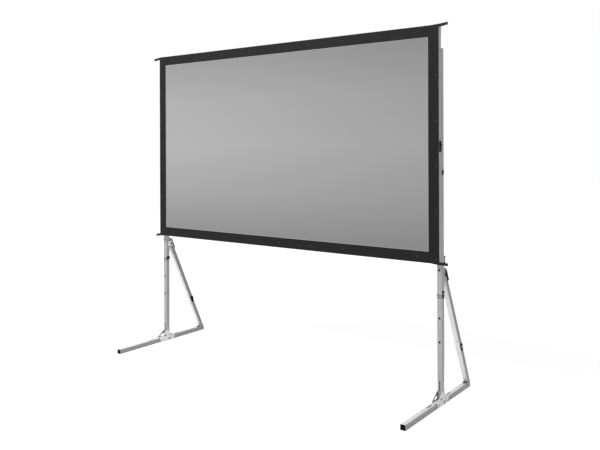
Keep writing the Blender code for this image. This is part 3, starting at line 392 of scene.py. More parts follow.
@made_once
def drawn_aluminium(name, stretch, base, side_shade=0.0):
    """Mill-finish aluminium whose die lines run along the stretched axis, with painted shade inside its bore
    and in tight corners, and painted shade on its side walls when side_shade is set.
    """
    settings = metal()
    material, nodes, shader = new_material(name)
    grain = nodes.group(drawn_grain_group(), Stretch=stretch)
    wear = nodes.group(edge_wear_group(), Amount=settings.wear)
    dust = nodes.group(dust_group(), Amount=0.10)
    tone = nodes.ramp(
        grain.outputs["Blotch"],
        [(0.30, [c * 0.88 for c in base]), (0.55, base), (0.75, [min(c * 1.10, 1) for c in base])],
    )
    faint = nodes.math("MULTIPLY", grain.outputs["Grain"], 0.16)
    lined = nodes.mix(faint, tone, rgba([min(c * 1.3, 1) for c in base]))
    worn = nodes.mix(wear.outputs["Mask"], lined, rgba([min(c * 1.9, 0.9) for c in base]))
    # Painted shade on the walls that face left and right.
    if side_shade:
        walls = nodes.group(side_shade_wall_group())
        worn = nodes.mix(walls.outputs["Mask"], worn, rgba([c * (1 - side_shade) for c in base]))
    dusted = nodes.mix(dust.outputs["Mask"], worn, rgba((0.42, 0.41, 0.40)))
    # Painted shade: near-black in bores and tight corners that little light reaches.
    painted_recess_shade = nodes.group(recess_shade_group())
    recess_shaded = nodes.mix(painted_recess_shade.outputs["Mask"], dusted, rgba((0.0015, 0.0015, 0.0015)))
    clouded = nodes.math("MULTIPLY", grain.outputs["Blotch"], 0.14)
    rough = nodes.math("ADD", clouded, settings.tube_roughness - 0.07)
    nodes.put(shader, Base_Color=recess_shaded, Roughness=rough, Metallic=0.35)
    bump(nodes, shader, grain.outputs["Grain"], 0.00006, 0.5)
    return material


@made_once
def coated_black(name, base):
    """Dark powder coat or lacquer with a fine orange peel and edges rubbed towards grey."""
    material, nodes, shader = new_material(name)
    peel = nodes.noise(900.0, 2.0)
    wear = nodes.group(edge_wear_group(), Amount=0.25, Width=0.0007)
    dust = nodes.group(dust_group(), Amount=0.10)
    tone = nodes.ramp(peel.outputs["Fac"], shades(base, 0.35, 0.75, 0.65, 1.25))
    worn = nodes.mix(wear.outputs["Mask"], tone, rgba((0.06, 0.06, 0.062)))
    nodes.put(shader, Base_Color=nodes.mix(dust.outputs["Mask"], worn, rgba((0.05, 0.05, 0.049))))
    nodes.put(shader, Roughness=nodes.ramp(peel.outputs["Fac"], [(0.3, 0.42), (0.7, 0.56)]))
    nodes.put(shader, Specular_IOR_Level=0.06)
    bump(nodes, shader, peel.outputs["Fac"], 0.00008, 0.6)
    return material


def black_coat():
    return coated_black("black_powder_coat", metal().black_colour)


@made_once
def plated_steel(name):
    """Zinc-plated steel, bright with faint clouding."""
    base = metal().bright_colour
    material, nodes, shader = new_material(name)
    cloud = nodes.noise(120.0, 4.0)
    wear = nodes.group(edge_wear_group(), Amount=0.5, Width=0.0006)
    tone = nodes.ramp(cloud.outputs["Fac"], [(0.3, [c * 0.86 for c in base]), (0.7, base)])
    nodes.put(shader, Base_Color=nodes.mix(wear.outputs["Mask"], tone, rgba((0.85, 0.85, 0.85))))
    nodes.put(shader, Roughness=nodes.ramp(cloud.outputs["Fac"], [(0.3, 0.24), (0.7, 0.38)]))
    nodes.put(shader, Metallic=0.9)
    bump(nodes, shader, cloud.outputs["Fac"], 0.00005, 0.4)
    return material


@made_once
def moulded_grip(name):
    """Glass-filled plastic with a fine spark texture."""
    base = metal().grip_colour
    material, nodes, shader = new_material(name)
    spark = nodes.noise(1400.0, 2.0)
    wear = nodes.group(edge_wear_group(), Amount=0.30, Width=0.0010)
    tone = nodes.ramp(spark.outputs["Fac"], shades(base, 0.35, 0.8, 0.65, 1.15))
    nodes.put(shader, Base_Color=nodes.mix(wear.outputs["Mask"], tone, rgba((0.60, 0.60, 0.60))))
    nodes.put(shader, Roughness=nodes.ramp(spark.outputs["Fac"], [(0.3, 0.46), (0.7, 0.62)]))
    bump(nodes, shader, spark.outputs["Fac"], 0.00012, 0.7)
    return material


@made_once
def projection_cloth(name):
    """Matt grey projection surface with a painted sheen: lighter at mid height, darker towards top and
    bottom.
    """
    settings = cloth()
    material, nodes, shader = new_material(name)
    rise = nodes.math("SUBTRACT", nodes.axes(nodes.local())["Z"], SHEET_LOW.z)
    height = nodes.math("DIVIDE", rise, SHEET_HIGH.z - SHEET_LOW.z, clamp=True)
    edge, middle = settings.surface_edge, settings.surface_sheen_colour
    soft = [(e + 2 * m) / 3 for e, m in zip(edge, middle)]
    # Painted sheen: a band of painted light across the cloth's middle, darker towards top and bottom.
    band = nodes.ramp(height, [(0.0, edge), (0.24, soft), (0.50, middle), (0.76, soft), (1.0, edge)])
    fine = nodes.noise(1500.0, 2.0)
    grain = nodes.math("ADD", nodes.math("MULTIPLY", fine.outputs["Fac"], 0.03), 0.985)
    shade = nodes.add("ShaderNodeVectorMath", operation="SCALE")
    nodes.link(band, shade.inputs[0])
    nodes.link(grain, shade.inputs["Scale"])
    nodes.put(shader, Base_Color=shade.outputs[0])
    nodes.put(shader, Roughness=nodes.ramp(fine.outputs["Fac"], [(0.3, 0.84), (0.7, 0.92)]))
    nodes.put(shader, Specular_IOR_Level=0.12)
    bump(nodes, shader, fine.outputs["Fac"], 0.00004, 0.5)
    return material


@made_once
def coated_border(name, base, threads):
    """Black coated cloth whose weave shows through, greyer where it is dusty."""
    material, nodes, shader = new_material(name)
    weave = nodes.group(weave_group(), Threads=threads)
    dust = nodes.group(dust_group(), Amount=0.10, Scale=22.0)
    tone = nodes.ramp(weave.outputs["Fleck"], shades(base, 0.32, 0.7, 0.70, 1.5))
    nodes.put(shader, Base_Color=nodes.mix(dust.outputs["Mask"], tone, rgba((0.07, 0.07, 0.072))))
    nodes.put(shader, Roughness=nodes.ramp(weave.outputs["Fleck"], [(0.3, 0.50), (0.7, 0.68)]))
    nodes.put(shader, Specular_IOR_Level=0.12, Sheen_Weight=0.02)
    nodes.put(shader, Sheen_Roughness=0.4)
    bump(nodes, shader, weave.outputs["Height"], 0.00025, 0.8)
    return material


@made_once
def thread(name, base):
    """Twisted sewing thread."""
    material, nodes, shader = new_material(name)
    twist = nodes.noise(2200.0, 2.0)
    nodes.put(shader, Base_Color=nodes.ramp(twist.outputs["Fac"], shades(base, 0.3, 0.6, 0.7, 1.4)))
    nodes.put(shader, Roughness=0.7)
    bump(nodes, shader, twist.outputs["Fac"], 0.0001, 0.8)
    return material


def dress(obj, material):
    obj.data.materials.clear()
    obj.data.materials.append(material)


def finished(name, shape, material, body, smooth=True):
    """Turn a bmesh into a piece that rides on a body."""
    mesh = bpy.data.meshes.new(name)
    bmesh.ops.recalc_face_normals(shape, faces=shape.faces)
    shape.to_mesh(mesh)
    shape.free()
    if smooth:
        mesh.shade_smooth()
        mesh.set_sharp_from_angle(angle=math.radians(40))
    obj = bpy.data.objects.new(name, mesh)
    bpy.context.scene.collection.objects.link(obj)
    dress(obj, material)
    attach(obj, body)
    return obj


def stud_places():
    """X and Z of every press stud."""
    settings = cloth()
    places = []
    for z in (OUTER_BOTTOM + settings.stud_inset, OUTER_TOP - settings.stud_inset):
        for step in range(-settings.studs_each_way, settings.studs_each_way + 1):
            places.append((step * settings.stud_pitch, z))
    run = (OUTER_TOP - OUTER_BOTTOM - 2 * settings.corner_inset) / settings.side_gaps
    for x in (OUTER_LEFT + settings.side_inset, OUTER_RIGHT - settings.side_inset):
        for step in range(settings.side_gaps + 1):
            places.append((x, OUTER_BOTTOM + settings.corner_inset + step * run))
    return places


def sheet_lines(low, high, edges, cell):
    """Positions from low to high about one cell apart, with the given ones kept."""
    marks = sorted({low, high, *edges})
    lines = []
    for first, last in zip(marks, marks[1:]):
        steps = max(1, round((last - first) / cell))
        lines += [first + (last - first) * step / steps for step in range(steps)]
    return [*lines, high]


def closest_stud(x, z, places):
    return min(math.hypot(x - px, z - pz) for px, pz in places)


def edge_distance(x, z):
    return min(x - OUTER_LEFT, OUTER_RIGHT - x, z - OUTER_BOTTOM, OUTER_TOP - z)


def border_front(x, z, settings, places):
    """How far the border's face stands out at a place: hem, dip at each stud and creases between them."""
    out = edge_distance(x, z)
    hem = settings.hem_rise / (1 + math.exp((out - settings.hem_width) * 900))
    pulled = math.exp(-((closest_stud(x, z, places) / 0.030) ** 2))
    crease = noise.noise(Vector((x * 9, z * 9, 0.4))) * (1 - pulled)
    fine = noise.noise(Vector((x * 31, z * 31, 2.0))) * 0.35
    fade = min(1, max(0, (settings.border_width - out) / 0.01))
    return hem + settings.pucker * (crease + fine) * fade - settings.pucker * 0.6 * pulled


class SCREEN_OT_border(bpy.types.Operator):
    """Build the black border with its doubled outer edge and creases"""

    bl_idname = "screen.border"
    bl_label = "Border"

    def execute(self, context):
        settings = cloth()
        places = stud_places()
        wide = settings.border_width
        insets = (wide, settings.hem_width)
        edges = [line for inset in insets for line in (OUTER_LEFT + inset, OUTER_RIGHT - inset)]
        xs = sheet_lines(OUTER_LEFT, OUTER_RIGHT, edges, settings.cell)
        edges = [line for inset in insets for line in (OUTER_BOTTOM + inset, OUTER_TOP - inset)]
        zs = sheet_lines(OUTER_BOTTOM, OUTER_TOP, edges, settings.cell)
        rear = BORDER_REAR
        front = rear - settings.border_thickness
        shape = bmesh.new()
        made = {}

        def corner(i, j, face):
            key = (i, j, face)
            if key not in made:
                x, z = xs[i], zs[j]
                y = rear if face else front - border_front(x, z, settings, places)
                made[key] = shape.verts.new((x, y, z))
            return made[key]

        def inside(i, j):
            return edge_distance((xs[i] + xs[i + 1]) / 2, (zs[j] + zs[j + 1]) / 2) <= wide

        cells = {(i, j) for i in range(len(xs) - 1) for j in range(len(zs) - 1) if inside(i, j)}
        for i, j in cells:
            for face in (0, 1):
                around = ((i, j), (i + 1, j), (i + 1, j + 1), (i, j + 1))
                loop = [corner(*place, face) for place in around]
                shape.faces.new(loop if face == 0 else loop[::-1])
            sides = {(-1, 0): ((i, j + 1), (i, j)), (1, 0): ((i + 1, j), (i + 1, j + 1))}
            sides |= {(0, -1): ((i, j), (i + 1, j)), (0, 1): ((i + 1, j + 1), (i, j + 1))}
            for (di, dj), (a, b) in sides.items():
                if (i + di, j + dj) not in cells:
                    shape.faces.new([corner(*a, 0), corner(*a, 1), corner(*b, 1), corner(*b, 0)])
        material = coated_border("black_coated_cloth", settings.border_colour, 1100.0)
        border = finished("border_cloth", shape, material, "surface")
        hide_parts("screen_border")
        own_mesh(border)
        return {"FINISHED"}


class SCREEN_OT_surface(bpy.types.Operator):
    """Build the projection surface with the welded edge that joins it to the border"""

    bl_idname = "screen.surface"
    bl_label = "Projection surface"

    def execute(self, context):
        settings = cloth()
        low, high = SHEET_LOW, SHEET_HIGH
        xs = sheet_lines(low.x, high.x, [], settings.surface_cell)
        zs = sheet_lines(low.z, high.z, [], settings.surface_cell)
        shape = bmesh.new()

        def vertex(x, y, z):
            across, up = (x - low.x) / (high.x - low.x), (z - low.z) / (high.z - low.z)
            slack = math.sin(math.pi * across) * math.sin(math.pi * up)
            return shape.verts.new((x, y + settings.slack * slack, z))

        front, rear = ([[vertex(x, y, z) for x in xs] for z in zs] for y in (low.y, high.y))
        for j in range(len(zs) - 1):
            for i in range(len(xs) - 1):
                shape.faces.new([front[j][i], front[j][i + 1], front[j + 1][i + 1], front[j + 1][i]])
                shape.faces.new([rear[j + 1][i], rear[j + 1][i + 1], rear[j][i + 1], rear[j][i]])
        last_x, last_z = len(xs) - 1, len(zs) - 1
        rim = [(0, i) for i in range(last_x + 1)] + [(j, last_x) for j in range(1, last_z + 1)]
        rim += [(last_z, i) for i in range(last_x - 1, -1, -1)] + [(j, 0) for j in range(last_z - 1, 0, -1)]
        for (j, i), (k, m) in zip(rim, rim[1:] + rim[:1]):
            shape.faces.new([front[j][i], rear[j][i], rear[k][m], front[k][m]])
        grey = projection_cloth("grey_projection_cloth")
        sheet = finished("projection_cloth", shape, grey, "surface")
        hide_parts("screen_surface")
        seam = self.seam(settings)
        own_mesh(sheet)
        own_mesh(seam)
        return {"FINISHED"}

    def seam(self, settings):
        """Narrow welded lip of the surface that shows along the inner edge of the border."""
        wide = settings.border_width
        left, right = OUTER_LEFT + wide, OUTER_RIGHT - wide
        bottom, top = OUTER_BOTTOM + wide, OUTER_TOP - wide
        front = SHEET_LOW.y - 0.0006
        rear = SHEET_LOW.y - 0.0001
        lip = 0.0035
        shape = bmesh.new()
        rings = []
        for inset, y in ((0.0002, rear), (0.0002, front), (lip, front), (lip + 0.0006, rear)):
            corners = rectangle(left, right, bottom, top, inset)
            rings.append([shape.verts.new((x, y, z)) for x, z in corners])
        bridge(shape, rings + rings[:1])
        welded = welded_lip("welded_lip")
        return finished("surface_lip", shape, welded, "surface", smooth=False)


@made_once
def welded_lip(name):
    """Glossier welded edge of the surface, with the faint bite of the welding wheel."""
    material, nodes, shader = new_material(name)
    bite = nodes.noise(700.0, 2.0)
    tone = nodes.ramp(bite.outputs["Fac"], [(0.3, (0.30, 0.30, 0.30)), (0.7, (0.42, 0.42, 0.42))])
    nodes.put(shader, Base_Color=tone)
    nodes.put(shader, Roughness=0.5)
    bump(nodes, shader, bite.outputs["Fac"], 0.0001, 0.5)
    return material


def bridge(shape, rings):
    """Join each ring of vertices to the next one with quads."""
    sides = len(rings[0])
    for first, second in zip(rings, rings[1:]):
        for k in range(sides):
            shape.faces.new([first[k], first[(k + 1) % sides], second[(k + 1) % sides], second[k]])


def cap(shape, rings):
    """Close the first and the last ring with a face each."""
    shape.faces.new(rings[0][::-1])
    shape.faces.new(rings[-1])


def round_rings(shape, profile, centre, axis, sides):
    """A ring of vertices round an axis for each (radius, height) pair of a profile."""
    frame_of = Vector(axis).normalized().to_track_quat("Z", "Y").to_matrix()
    rings = []
    for radius, height in profile:
        loop = []
        for step in range(sides):
            angle = 2 * math.pi * step / sides
            local = Vector((radius * math.cos(angle), radius * math.sin(angle), height))
            loop.append(shape.verts.new(Vector(centre) + frame_of @ local))
        rings.append(loop)
    return rings


def turned(shape, profile, centre, axis, sides=20):
    """Turn a profile of (radius, height) pairs round an axis; both ends are closed."""
    rings = round_rings(shape, profile, centre, axis, sides)
    bridge(shape, rings)
    cap(shape, rings)


def turned_ring(shape, profile, centre, axis, sides=20):
    """Turn a profile round an axis and join its end to its start, which leaves the middle open."""
    rings = round_rings(shape, profile, centre, axis, sides)
    bridge(shape, rings + rings[:1])


def rectangle(left, right, bottom, top, inset):
    """Corners of a rectangle that is drawn in by an inset on every side."""
    low = [(left + inset, bottom + inset), (right - inset, bottom + inset)]
    return low + [(right - inset, top - inset), (left + inset, top - inset)]


class SCREEN_OT_studs(bpy.types.Operator):
    """Build the press studs' caps on the front of the border and their sockets behind it"""

    bl_idname = "screen.studs"
    bl_label = "Press studs"

    def execute(self, context):
        settings = cloth()
        radius = settings.cap_radius
        rear = BORDER_REAR
        front = rear - settings.border_thickness + settings.cap_sunk
        caps = bmesh.new()
        sockets = bmesh.new()
        for x, z in stud_places():
            profile = [(radius, 0), (radius, 0.0007), (radius * 0.93, 0.0012), (radius * 0.80, 0.0014)]
            profile += [(radius * 0.74, 0.0012), (radius * 0.60, 0.0015)]
            profile += [(radius * 0.30, 0.0019), (radius * 0.06, 0.0020)]
            turned(caps, profile, (x, front, z), (0, -1, 0), 24)
            wide = radius * 0.8
            profile = [(wide, 0), (wide, 0.0006), (wide * 0.85, 0.0009)]
            profile += [(wide * 0.55, 0.0009), (wide * 0.5, 0.0003)]
            turned(sockets, profile, (x, rear, z), (0, 1, 0), 20)
        lacquer = coated_black("stud_lacquer", settings.stud_colour)
        for name, shape in (("stud_caps", caps), ("stud_sockets", sockets)):
            piece = finished(name, shape, lacquer, "surface")
            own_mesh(piece)
        return {"FINISHED"}


class SCREEN_OT_stitching(bpy.types.Operator):
    """Sew one row of stitches along the border's doubled edge, and one along its inner edge"""

    bl_idname = "screen.stitching"
    bl_label = "Stitching"

    def execute(self, context):
        settings = cloth()
        places = stud_places()
        front = BORDER_REAR - settings.border_thickness
        shape = bmesh.new()
        for inset in (settings.hem_width - 0.002, settings.border_width - 0.005):
            left, right = OUTER_LEFT + inset, OUTER_RIGHT - inset
            bottom, top = OUTER_BOTTOM + inset, OUTER_TOP - inset
            runs = [((left, bottom), (right, bottom)), ((right, bottom), (right, top))]
            runs += [((right, top), (left, top)), ((left, top), (left, bottom))]
            for (x0, z0), (x1, z1) in runs:
                span = math.hypot(x1 - x0, z1 - z0)
                stitches = int(span / settings.stitch)
                along = Vector(((x1 - x0) / span, 0, (z1 - z0) / span))
                across = Vector((-along.z, 0, along.x))
                for step in range(stitches):
                    t = (step + 0.5) / stitches
                    x, z = x0 + (x1 - x0) * t, z0 + (z1 - z0) * t
                    y = front - border_front(x, z, settings, places)
                    self.stitch(shape, Vector((x, y, z)), along, across, settings.stitch * 0.36)
        black = thread("black_thread", (0.030, 0.030, 0.032))
        rows = finished("border_stitching", shape, black, "surface")
        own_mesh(rows)
        return {"FINISHED"}

    def stitch(self, shape, centre, along, across, half):
        """One raised stitch, highest at its middle."""
        wide = 0.00035
        ends = [shape.verts.new(centre - along * half), shape.verts.new(centre + along * half)]
        sides = [shape.verts.new(centre + across * wide), shape.verts.new(centre - across * wide)]
        crown = shape.verts.new(centre + Vector((0, -0.00035, 0)))
        loop = [ends[0], sides[0], ends[1], sides[1]]
        for first, second in zip(loop, loop[1:] + loop[:1]):
            shape.faces.new([first, second, crown])


class SCREEN_OT_tabs(bpy.types.Operator):
    """Build the webbing pull tabs at the corners of the border"""

    bl_idname = "screen.tabs"
    bl_label = "Pull tabs"

    def execute(self, context):
        settings = cloth()
        webbing = coated_border("black_webbing", settings.tab_colour, 700.0)
        for side, s in SIDES.items():
            for level, inward in LEVELS.items():
                edge = OUTER_BOTTOM if level == "bottom" else OUTER_TOP
                reach, rise = TAB_TIPS[side, level]
                root = Vector((s * TAB_ROOT_X, edge + inward * TAB_ROOT_INSET))
                tip = Vector((s * reach, edge + inward * TAB_ROOT_INSET + rise))
                tab = self.strip(f"{side}_{level}_tab", root, tip, webbing)
                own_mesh(tab)
        return {"FINISHED"}

    def strip(self, name, root, tip, material):
        """A flat strip of webbing, doubled at its tip, with ribbed edges and a slight sag."""
        front = BORDER_REAR - cloth().border_thickness
        shape = bmesh.new()
        run = tip - root
        span = run.length
        along = run / span
        across = Vector((-along.y, along.x))
        steps = 26
        section = [(-1, 0.3), (-0.9, 1), (-0.3, 0.86), (0.3, 0.86), (0.9, 1), (1, 0.3), (0.9, 0), (-0.9, 0)]
        rings = []
        for step in range(steps + 1):
            t = step / steps
            width = 0.0120 - 0.0018 * t
            thick = 0.0014 + 0.0030 * min(1, max(0, (t - 0.80) / 0.04))
            sag = -0.002 * math.sin(math.pi * t)
            centre = root + run * t + across * sag
            lift = 0.0002 + 0.0005 * math.sin(math.pi * min(1, t * 1.6))
            ring = []
            for u, v in section:
                place = centre + across * (u * width)
                ring.append(shape.verts.new((place.x, front - lift - v * thick, place.y)))
            rings.append(ring)
        bridge(shape, rings)
        cap(shape, rings)
        return finished(name, shape, material, "surface")


class SCREEN_OT_aluminium(bpy.types.Operator):
    """Give the tubes, rails and castings their drawn aluminium, with painted light on braces, feet and foot
    brackets and painted shade on the side walls of braces and feet
    """

    bl_idname = "screen.aluminium"
    bl_label = "Aluminium"

    def execute(self, context):
        # The lighter brace grey is painted light, used for braces, feet and foot brackets.
        plain, lit_pale = metal().tube_colour, metal().lit_brace_colour
        upright = drawn_aluminium("drawn_aluminium_upright", (1.0, 1.0, 0.02), plain)
        level = drawn_aluminium("drawn_aluminium_rail", (0.02, 1.0, 1.0), plain)
        # Painted shade on the side walls of braces and feet.
        shade = metal().side_shade
        brace = drawn_aluminium("drawn_aluminium_brace", (1.0, 1.0, 0.02), lit_pale, shade)
        foot = drawn_aluminium("drawn_aluminium_foot", (1.0, 0.02, 1.0), lit_pale, shade)
        cast = drawn_aluminium("cast_aluminium", EVEN_GRAIN, plain)
        plate = drawn_aluminium("bent_plate", EVEN_GRAIN, lit_pale)
        for name, node in NODES.items():
            if "_rail_" in name:
                dress(node, level)
            elif name.endswith("_foot_tube"):
                dress(node, foot)
            elif "_brace_" in name and name.endswith("_tube"):
                dress(node, brace)
            elif name.endswith("_foot_bracket"):
                dress(node, plate)
            elif name.endswith("_corner"):
                dress(node, cast)
            elif name.endswith("_tube") or "_side_tube_" in name:
                dress(node, upright)
        return {"FINISHED"}


class SCREEN_OT_fittings(bpy.types.Operator):
    """Give hinges, caps, latches, plungers, ears and T-handles their finishes"""

    bl_idname = "screen.fittings"
    bl_label = "Fittings"

    def execute(self, context):
        black = black_coat()
        bright = plated_steel("zinc_plated_steel")
        grip = moulded_grip("moulded_grip")
        for name, node in NODES.items():
            if name.endswith("_leg_knob"):
                dress(node, grip)
            elif name.endswith("_lock_pin") or name.endswith("_brace_ear"):
                dress(node, bright)
            elif name.endswith(BLACK_ENDINGS):
                dress(node, black)
        return {"FINISHED"}


class SCREEN_OT_handles(bpy.types.Operator):
    """Put the black moulded caps on the ends of the T-handles"""

    bl_idname = "screen.handles"
    bl_label = "Handle caps"

    def execute(self, context):
        radius = metal().handle_end
        profile = [(radius * 0.86, -0.0095), (radius * 1.04, -0.0088), (radius * 1.07, -0.0040)]
        profile += [(radius * 1.04, -0.0010), (radius * 0.90, 0.0004)]
        profile += [(radius * 0.45, 0.0009), (radius * 0.05, 0.0010)]
        black = black_coat()
        for side in SIDES:
            low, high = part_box(f"{side}_leg_knob")
            shape = bmesh.new()
            for z, way in ((low.z, -1), (high.z, 1)):
                turned(shape, profile, ((low.x + high.x) / 2, high.y - radius, z), (0, 0, way), 24)
            finished(f"{side}_handle_caps", shape, black, f"{side}_knob")
        return {"FINISHED"}


class SCREEN_OT_bushes(bpy.types.Operator):
    """Press black bushes into the holes on the front of the legs"""

    bl_idname = "screen.bushes"
    bl_label = "Leg bushes"

    def execute(self, context):
        settings = metal()
        wide, bore = settings.bush_radius, settings.bush_bore
        profile = [(bore, -0.0019), (wide * 0.74, -0.0019), (wide * 0.76, 0.0002), (wide, 0.0003)]
        profile += [(wide, 0.0007), (wide * 0.93, 0.0011), (bore * 1.12, 0.0012), (bore, 0.0008)]
        black = black_coat()
        for side in SIDES:
            for body, heights in BUSH_HEIGHTS.items():
                shape = bmesh.new()
                for z in heights:
                    turned_ring(shape, profile, (LEG_MIDDLES[side], LEG_FRONT, z), (0, -1, 0), 24)
                finished(f"{side}_{body}_bushes", shape, black, f"{side}_{body}")
        return {"FINISHED"}


class SCREEN_OT_pin_caps(bpy.types.Operator):
    """Put black caps on both ends of the pin at the top of each brace"""

    bl_idname = "screen.pin_caps"
    bl_label = "Brace pin caps"

    def execute(self, context):
        radius = metal().pin_cap
        profile = [(radius, 0), (radius, 0.0016), (radius * 0.90, 0.0027)]
        profile += [(radius * 0.50, 0.0034), (radius * 0.06, 0.0036)]
        black = black_coat()
        for side, s in SIDES.items():
            low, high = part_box(f"{side}_brace_ear")
            place = Vector((0, high.y - EAR_BEHIND_PIN, (low.z + high.z) / 2))
            shape = bmesh.new()
            outer = LEG_MIDDLES[side] + s * (HALF_TUBE + PIN_OUTER_END)
            turned(shape, profile, place + Vector((outer, 0, 0)), (s, 0, 0), 24)
            inner = LEG_MIDDLES[side] - s * (HALF_TUBE + PIN_INNER_END)
            turned(shape, profile, place + Vector((inner, 0, 0)), (-s, 0, 0), 24)
            finished(f"{side}_pin_caps", shape, black, f"{side}_brace_upper")
        return {"FINISHED"}


class SCREEN_OT_bands(bpy.types.Operator):
    """Lay a thin plate on the front of each tube end at the lower leg joint"""

    bl_idname = "screen.bands"
    bl_label = "Joint bands"

    def execute(self, context):
        height = metal().band_height
        half = HALF_TUBE - 0.0022
        dark = [c * 0.55 for c in metal().tube_colour]
        finish = drawn_aluminium("band_aluminium", EVEN_GRAIN, dark)
        for side in SIDES:
            for body, way in (("leg", 1), ("leg_lower", -1)):
                near, far = LOWER_JOINT_Z + way * 0.0012, LOWER_JOINT_Z + way * height
                shape = bmesh.new()
                left, right = LEG_MIDDLES[side] - half, LEG_MIDDLES[side] + half
                self.plate(shape, left, right, min(near, far), max(near, far))
                finished(f"{side}_{body}_band", shape, finish, f"{side}_{body}", smooth=False)
        return {"FINISHED"}

    def plate(self, shape, left, right, bottom, top):
        """A plate with a bevelled rim on the leg's front wall."""
        rings = []
        for inset, out in ((0, 0.0001), (0, 0.0006), (0.0005, 0.0010)):
            corners = rectangle(left, right, bottom, top, inset)
            rings.append([shape.verts.new((x, LEG_FRONT - out, z)) for x, z in corners])
        bridge(shape, rings)
        cap(shape, rings)


class SCREEN_OT_rivets(bpy.types.Operator):
    """Set domed rivets in the hinge leaves"""

    bl_idname = "screen.rivets"
    bl_label = "Rivets"

    def execute(self, context):
        radius = metal().rivet_radius
        profile = [(radius, 0), (radius, 0.0003), (radius * 0.86, 0.0008)]
        profile += [(radius * 0.5, 0.0011), (radius * 0.1, 0.0012)]
        ahead, up = Vector((0, 1, 0)), Vector((0, 0, 1))
        for side, s in SIDES.items():
            rows = {
                f"{side}_leg_upper_hinge": (f"{side}_leg", Vector((s, 0, 0)), ahead, up),
                f"{side}_foot_hinge": (f"{side}_foot", up, Vector((1, 0, 0)), ahead),
            }
            for node, (body, out, across, along) in rows.items():
                low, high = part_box(node)
                middle = (low + high) / 2
                size = high - low
                top = self.leaf_top(node, out)
                shape = bmesh.new()
                for u in (-0.28, 0.28):
                    place = middle + across * (u * abs(size.dot(across)))
                    place -= along * (0.16 * abs(size.dot(along)))
                    place += out * (top - place.dot(out))
                    turned(shape, profile, place, out, 14)
                finished(f"{node}_rivets", shape, plated_steel("zinc_plated_steel"), body)
        return {"FINISHED"}

    def leaf_top(self, node, out):
        """Height of the leaf's flat face along a direction: the height that holds most of its area."""
        areas = {}
        for face in NODES[node].data.polygons:
            if face.normal.dot(out) > 0.99:
                height = round(face.center.dot(out), 4)
                areas[height] = areas.get(height, 0) + face.area
        return max(areas, key=areas.get)


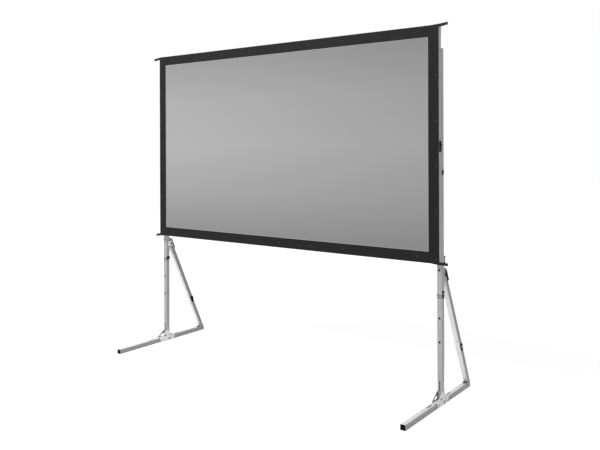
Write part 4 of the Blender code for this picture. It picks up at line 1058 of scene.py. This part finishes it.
class SCREEN_OT_stage(bpy.types.Operator):
    """Set the floor, the lights, the room and the camera"""

    bl_idname = "screen.stage"
    bl_label = "Stage"

    def execute(self, context):
        settings = context.scene.screen_stage
        shape = bmesh.new()
        half = settings.floor_size / 2
        shape.faces.new([shape.verts.new((x, y, 0)) for x, y in rectangle(-half, half, -half, half, 0)])
        mesh = bpy.data.meshes.new("floor")
        shape.to_mesh(mesh)
        shape.free()
        floor = bpy.data.objects.new("floor", mesh)
        context.scene.collection.objects.link(floor)
        dress(floor, self.floor_material())
        self.world(settings)
        self.key_light(settings, context)
        self.camera(settings, context)
        context.scene.view_settings.view_transform = "Standard"
        return {"FINISHED"}

    def floor_material(self):
        """White floor that keeps the object's shadow and no other shading."""
        material, nodes, shader = new_material("white_floor")
        output = material.node_tree.nodes["Material Output"]
        shader.inputs["Base Color"].default_value = (0.80, 0.80, 0.80, 1)
        nodes.put(shader, Roughness=0.9)
        nodes.put(shader, Specular_IOR_Level=0.1)
        glow = nodes.add("ShaderNodeEmission")
        glow.inputs["Color"].default_value = (1, 1, 1, 1)
        seen = self.seen(nodes)
        nodes.link(nodes.math("MULTIPLY", seen, FLOOR_GLOW), glow.inputs["Strength"])
        both = nodes.add("ShaderNodeAddShader")
        nodes.link(shader.outputs[0], both.inputs[0])
        nodes.link(glow.outputs[0], both.inputs[1])
        nodes.link(both.outputs[0], output.inputs["Surface"])
        return material

    def seen(self, nodes):
        """One for rays that show the white ground to the camera, directly or in a reflection."""
        path = nodes.add("ShaderNodeLightPath")
        direct = nodes.math("MAXIMUM", path.outputs["Is Camera Ray"], path.outputs["Is Glossy Ray"])
        return nodes.math("MAXIMUM", direct, path.outputs["Is Transmission Ray"])

    def world(self, settings):
        world = bpy.data.worlds.new("room")
        world.use_nodes = True
        bpy.context.scene.world = world
        nodes = Nodes(world.node_tree)
        background = world.node_tree.nodes["Background"]
        background.inputs["Color"].default_value = (1, 1, 1, 1)
        seen = self.seen(nodes)
        extra = nodes.math("MULTIPLY", seen, 1.0 - settings.world_power)
        strength = nodes.math("ADD", settings.world_power, extra)
        nodes.link(strength, background.inputs["Strength"])

    def key_light(self, settings, context):
        """Large panel above and in front of the screen's left side, aimed at its middle."""
        light = bpy.data.lights.new("key_panel", "AREA")
        light.energy = settings.key_power
        light.shape = "RECTANGLE"
        light.size, light.size_y = 3.4, 2.6
        panel = bpy.data.objects.new("key_panel", light)
        panel.location = (-2.6, -4.6, 6.4)
        panel.rotation_euler = (Vector((0, 0, 1.1)) - panel.location).to_track_quat("-Z", "Y").to_euler()
        panel.visible_camera = False
        context.scene.collection.objects.link(panel)

    def camera(self, settings, context):
        data = bpy.data.cameras.new("camera")
        data.sensor_fit = "HORIZONTAL"
        data.sensor_width = 36
        data.lens = settings.lens
        data.shift_y = settings.shift
        camera = bpy.data.objects.new("camera", data)
        turn = Matrix.Rotation(settings.camera_yaw, 4, "Z") @ Matrix.Rotation(math.pi / 2, 4, "X")
        camera.matrix_world = Matrix.Translation(settings.camera_place) @ turn @ Matrix.Rotation(
            settings.camera_roll, 4, "Z"
        )
        context.scene.collection.objects.link(camera)
        context.scene.camera = camera


class SCREEN_PT_panel(bpy.types.Panel):
    """Lists the pieces of the screen and the settings that shape them"""

    bl_idname = "SCREEN_PT_panel"
    bl_label = "Projection Screen"
    bl_space_type = "VIEW_3D"
    bl_region_type = "UI"
    bl_category = "Screen"

    def draw(self, context):
        layout = self.layout
        for group in (context.scene.screen_cloth, context.scene.screen_metal, context.scene.screen_stage):
            box = layout.box()
            for name in group.__annotations__:
                box.prop(group, name)
        for operator in STEPS:
            layout.operator(operator.bl_idname)


GROUPS = {"screen_cloth": ScreenCloth, "screen_metal": ScreenMetal, "screen_stage": ScreenStage}
STEPS = (
    SCREEN_OT_border,
    SCREEN_OT_surface,
    SCREEN_OT_studs,
    SCREEN_OT_stitching,
    SCREEN_OT_tabs,
    SCREEN_OT_aluminium,
    SCREEN_OT_fittings,
    SCREEN_OT_handles,
    SCREEN_OT_bushes,
    SCREEN_OT_pin_caps,
    SCREEN_OT_bands,
    SCREEN_OT_rivets,
    SCREEN_OT_stage,
)


def register():
    for item in (*GROUPS.values(), *STEPS, SCREEN_PT_panel):
        bpy.utils.register_class(item)
    for name, group in GROUPS.items():
        setattr(bpy.types.Scene, name, bpy.props.PointerProperty(type=group))


def unregister():
    for name in GROUPS:
        delattr(bpy.types.Scene, name)
    for item in (SCREEN_PT_panel, *reversed(STEPS), *GROUPS.values()):
        bpy.utils.unregister_class(item)


def main():
    register()
    for step in STEPS:
        family, name = step.bl_idname.split(".")
        getattr(getattr(bpy.ops, family), name)()


if __name__ == "__main__":
    main()
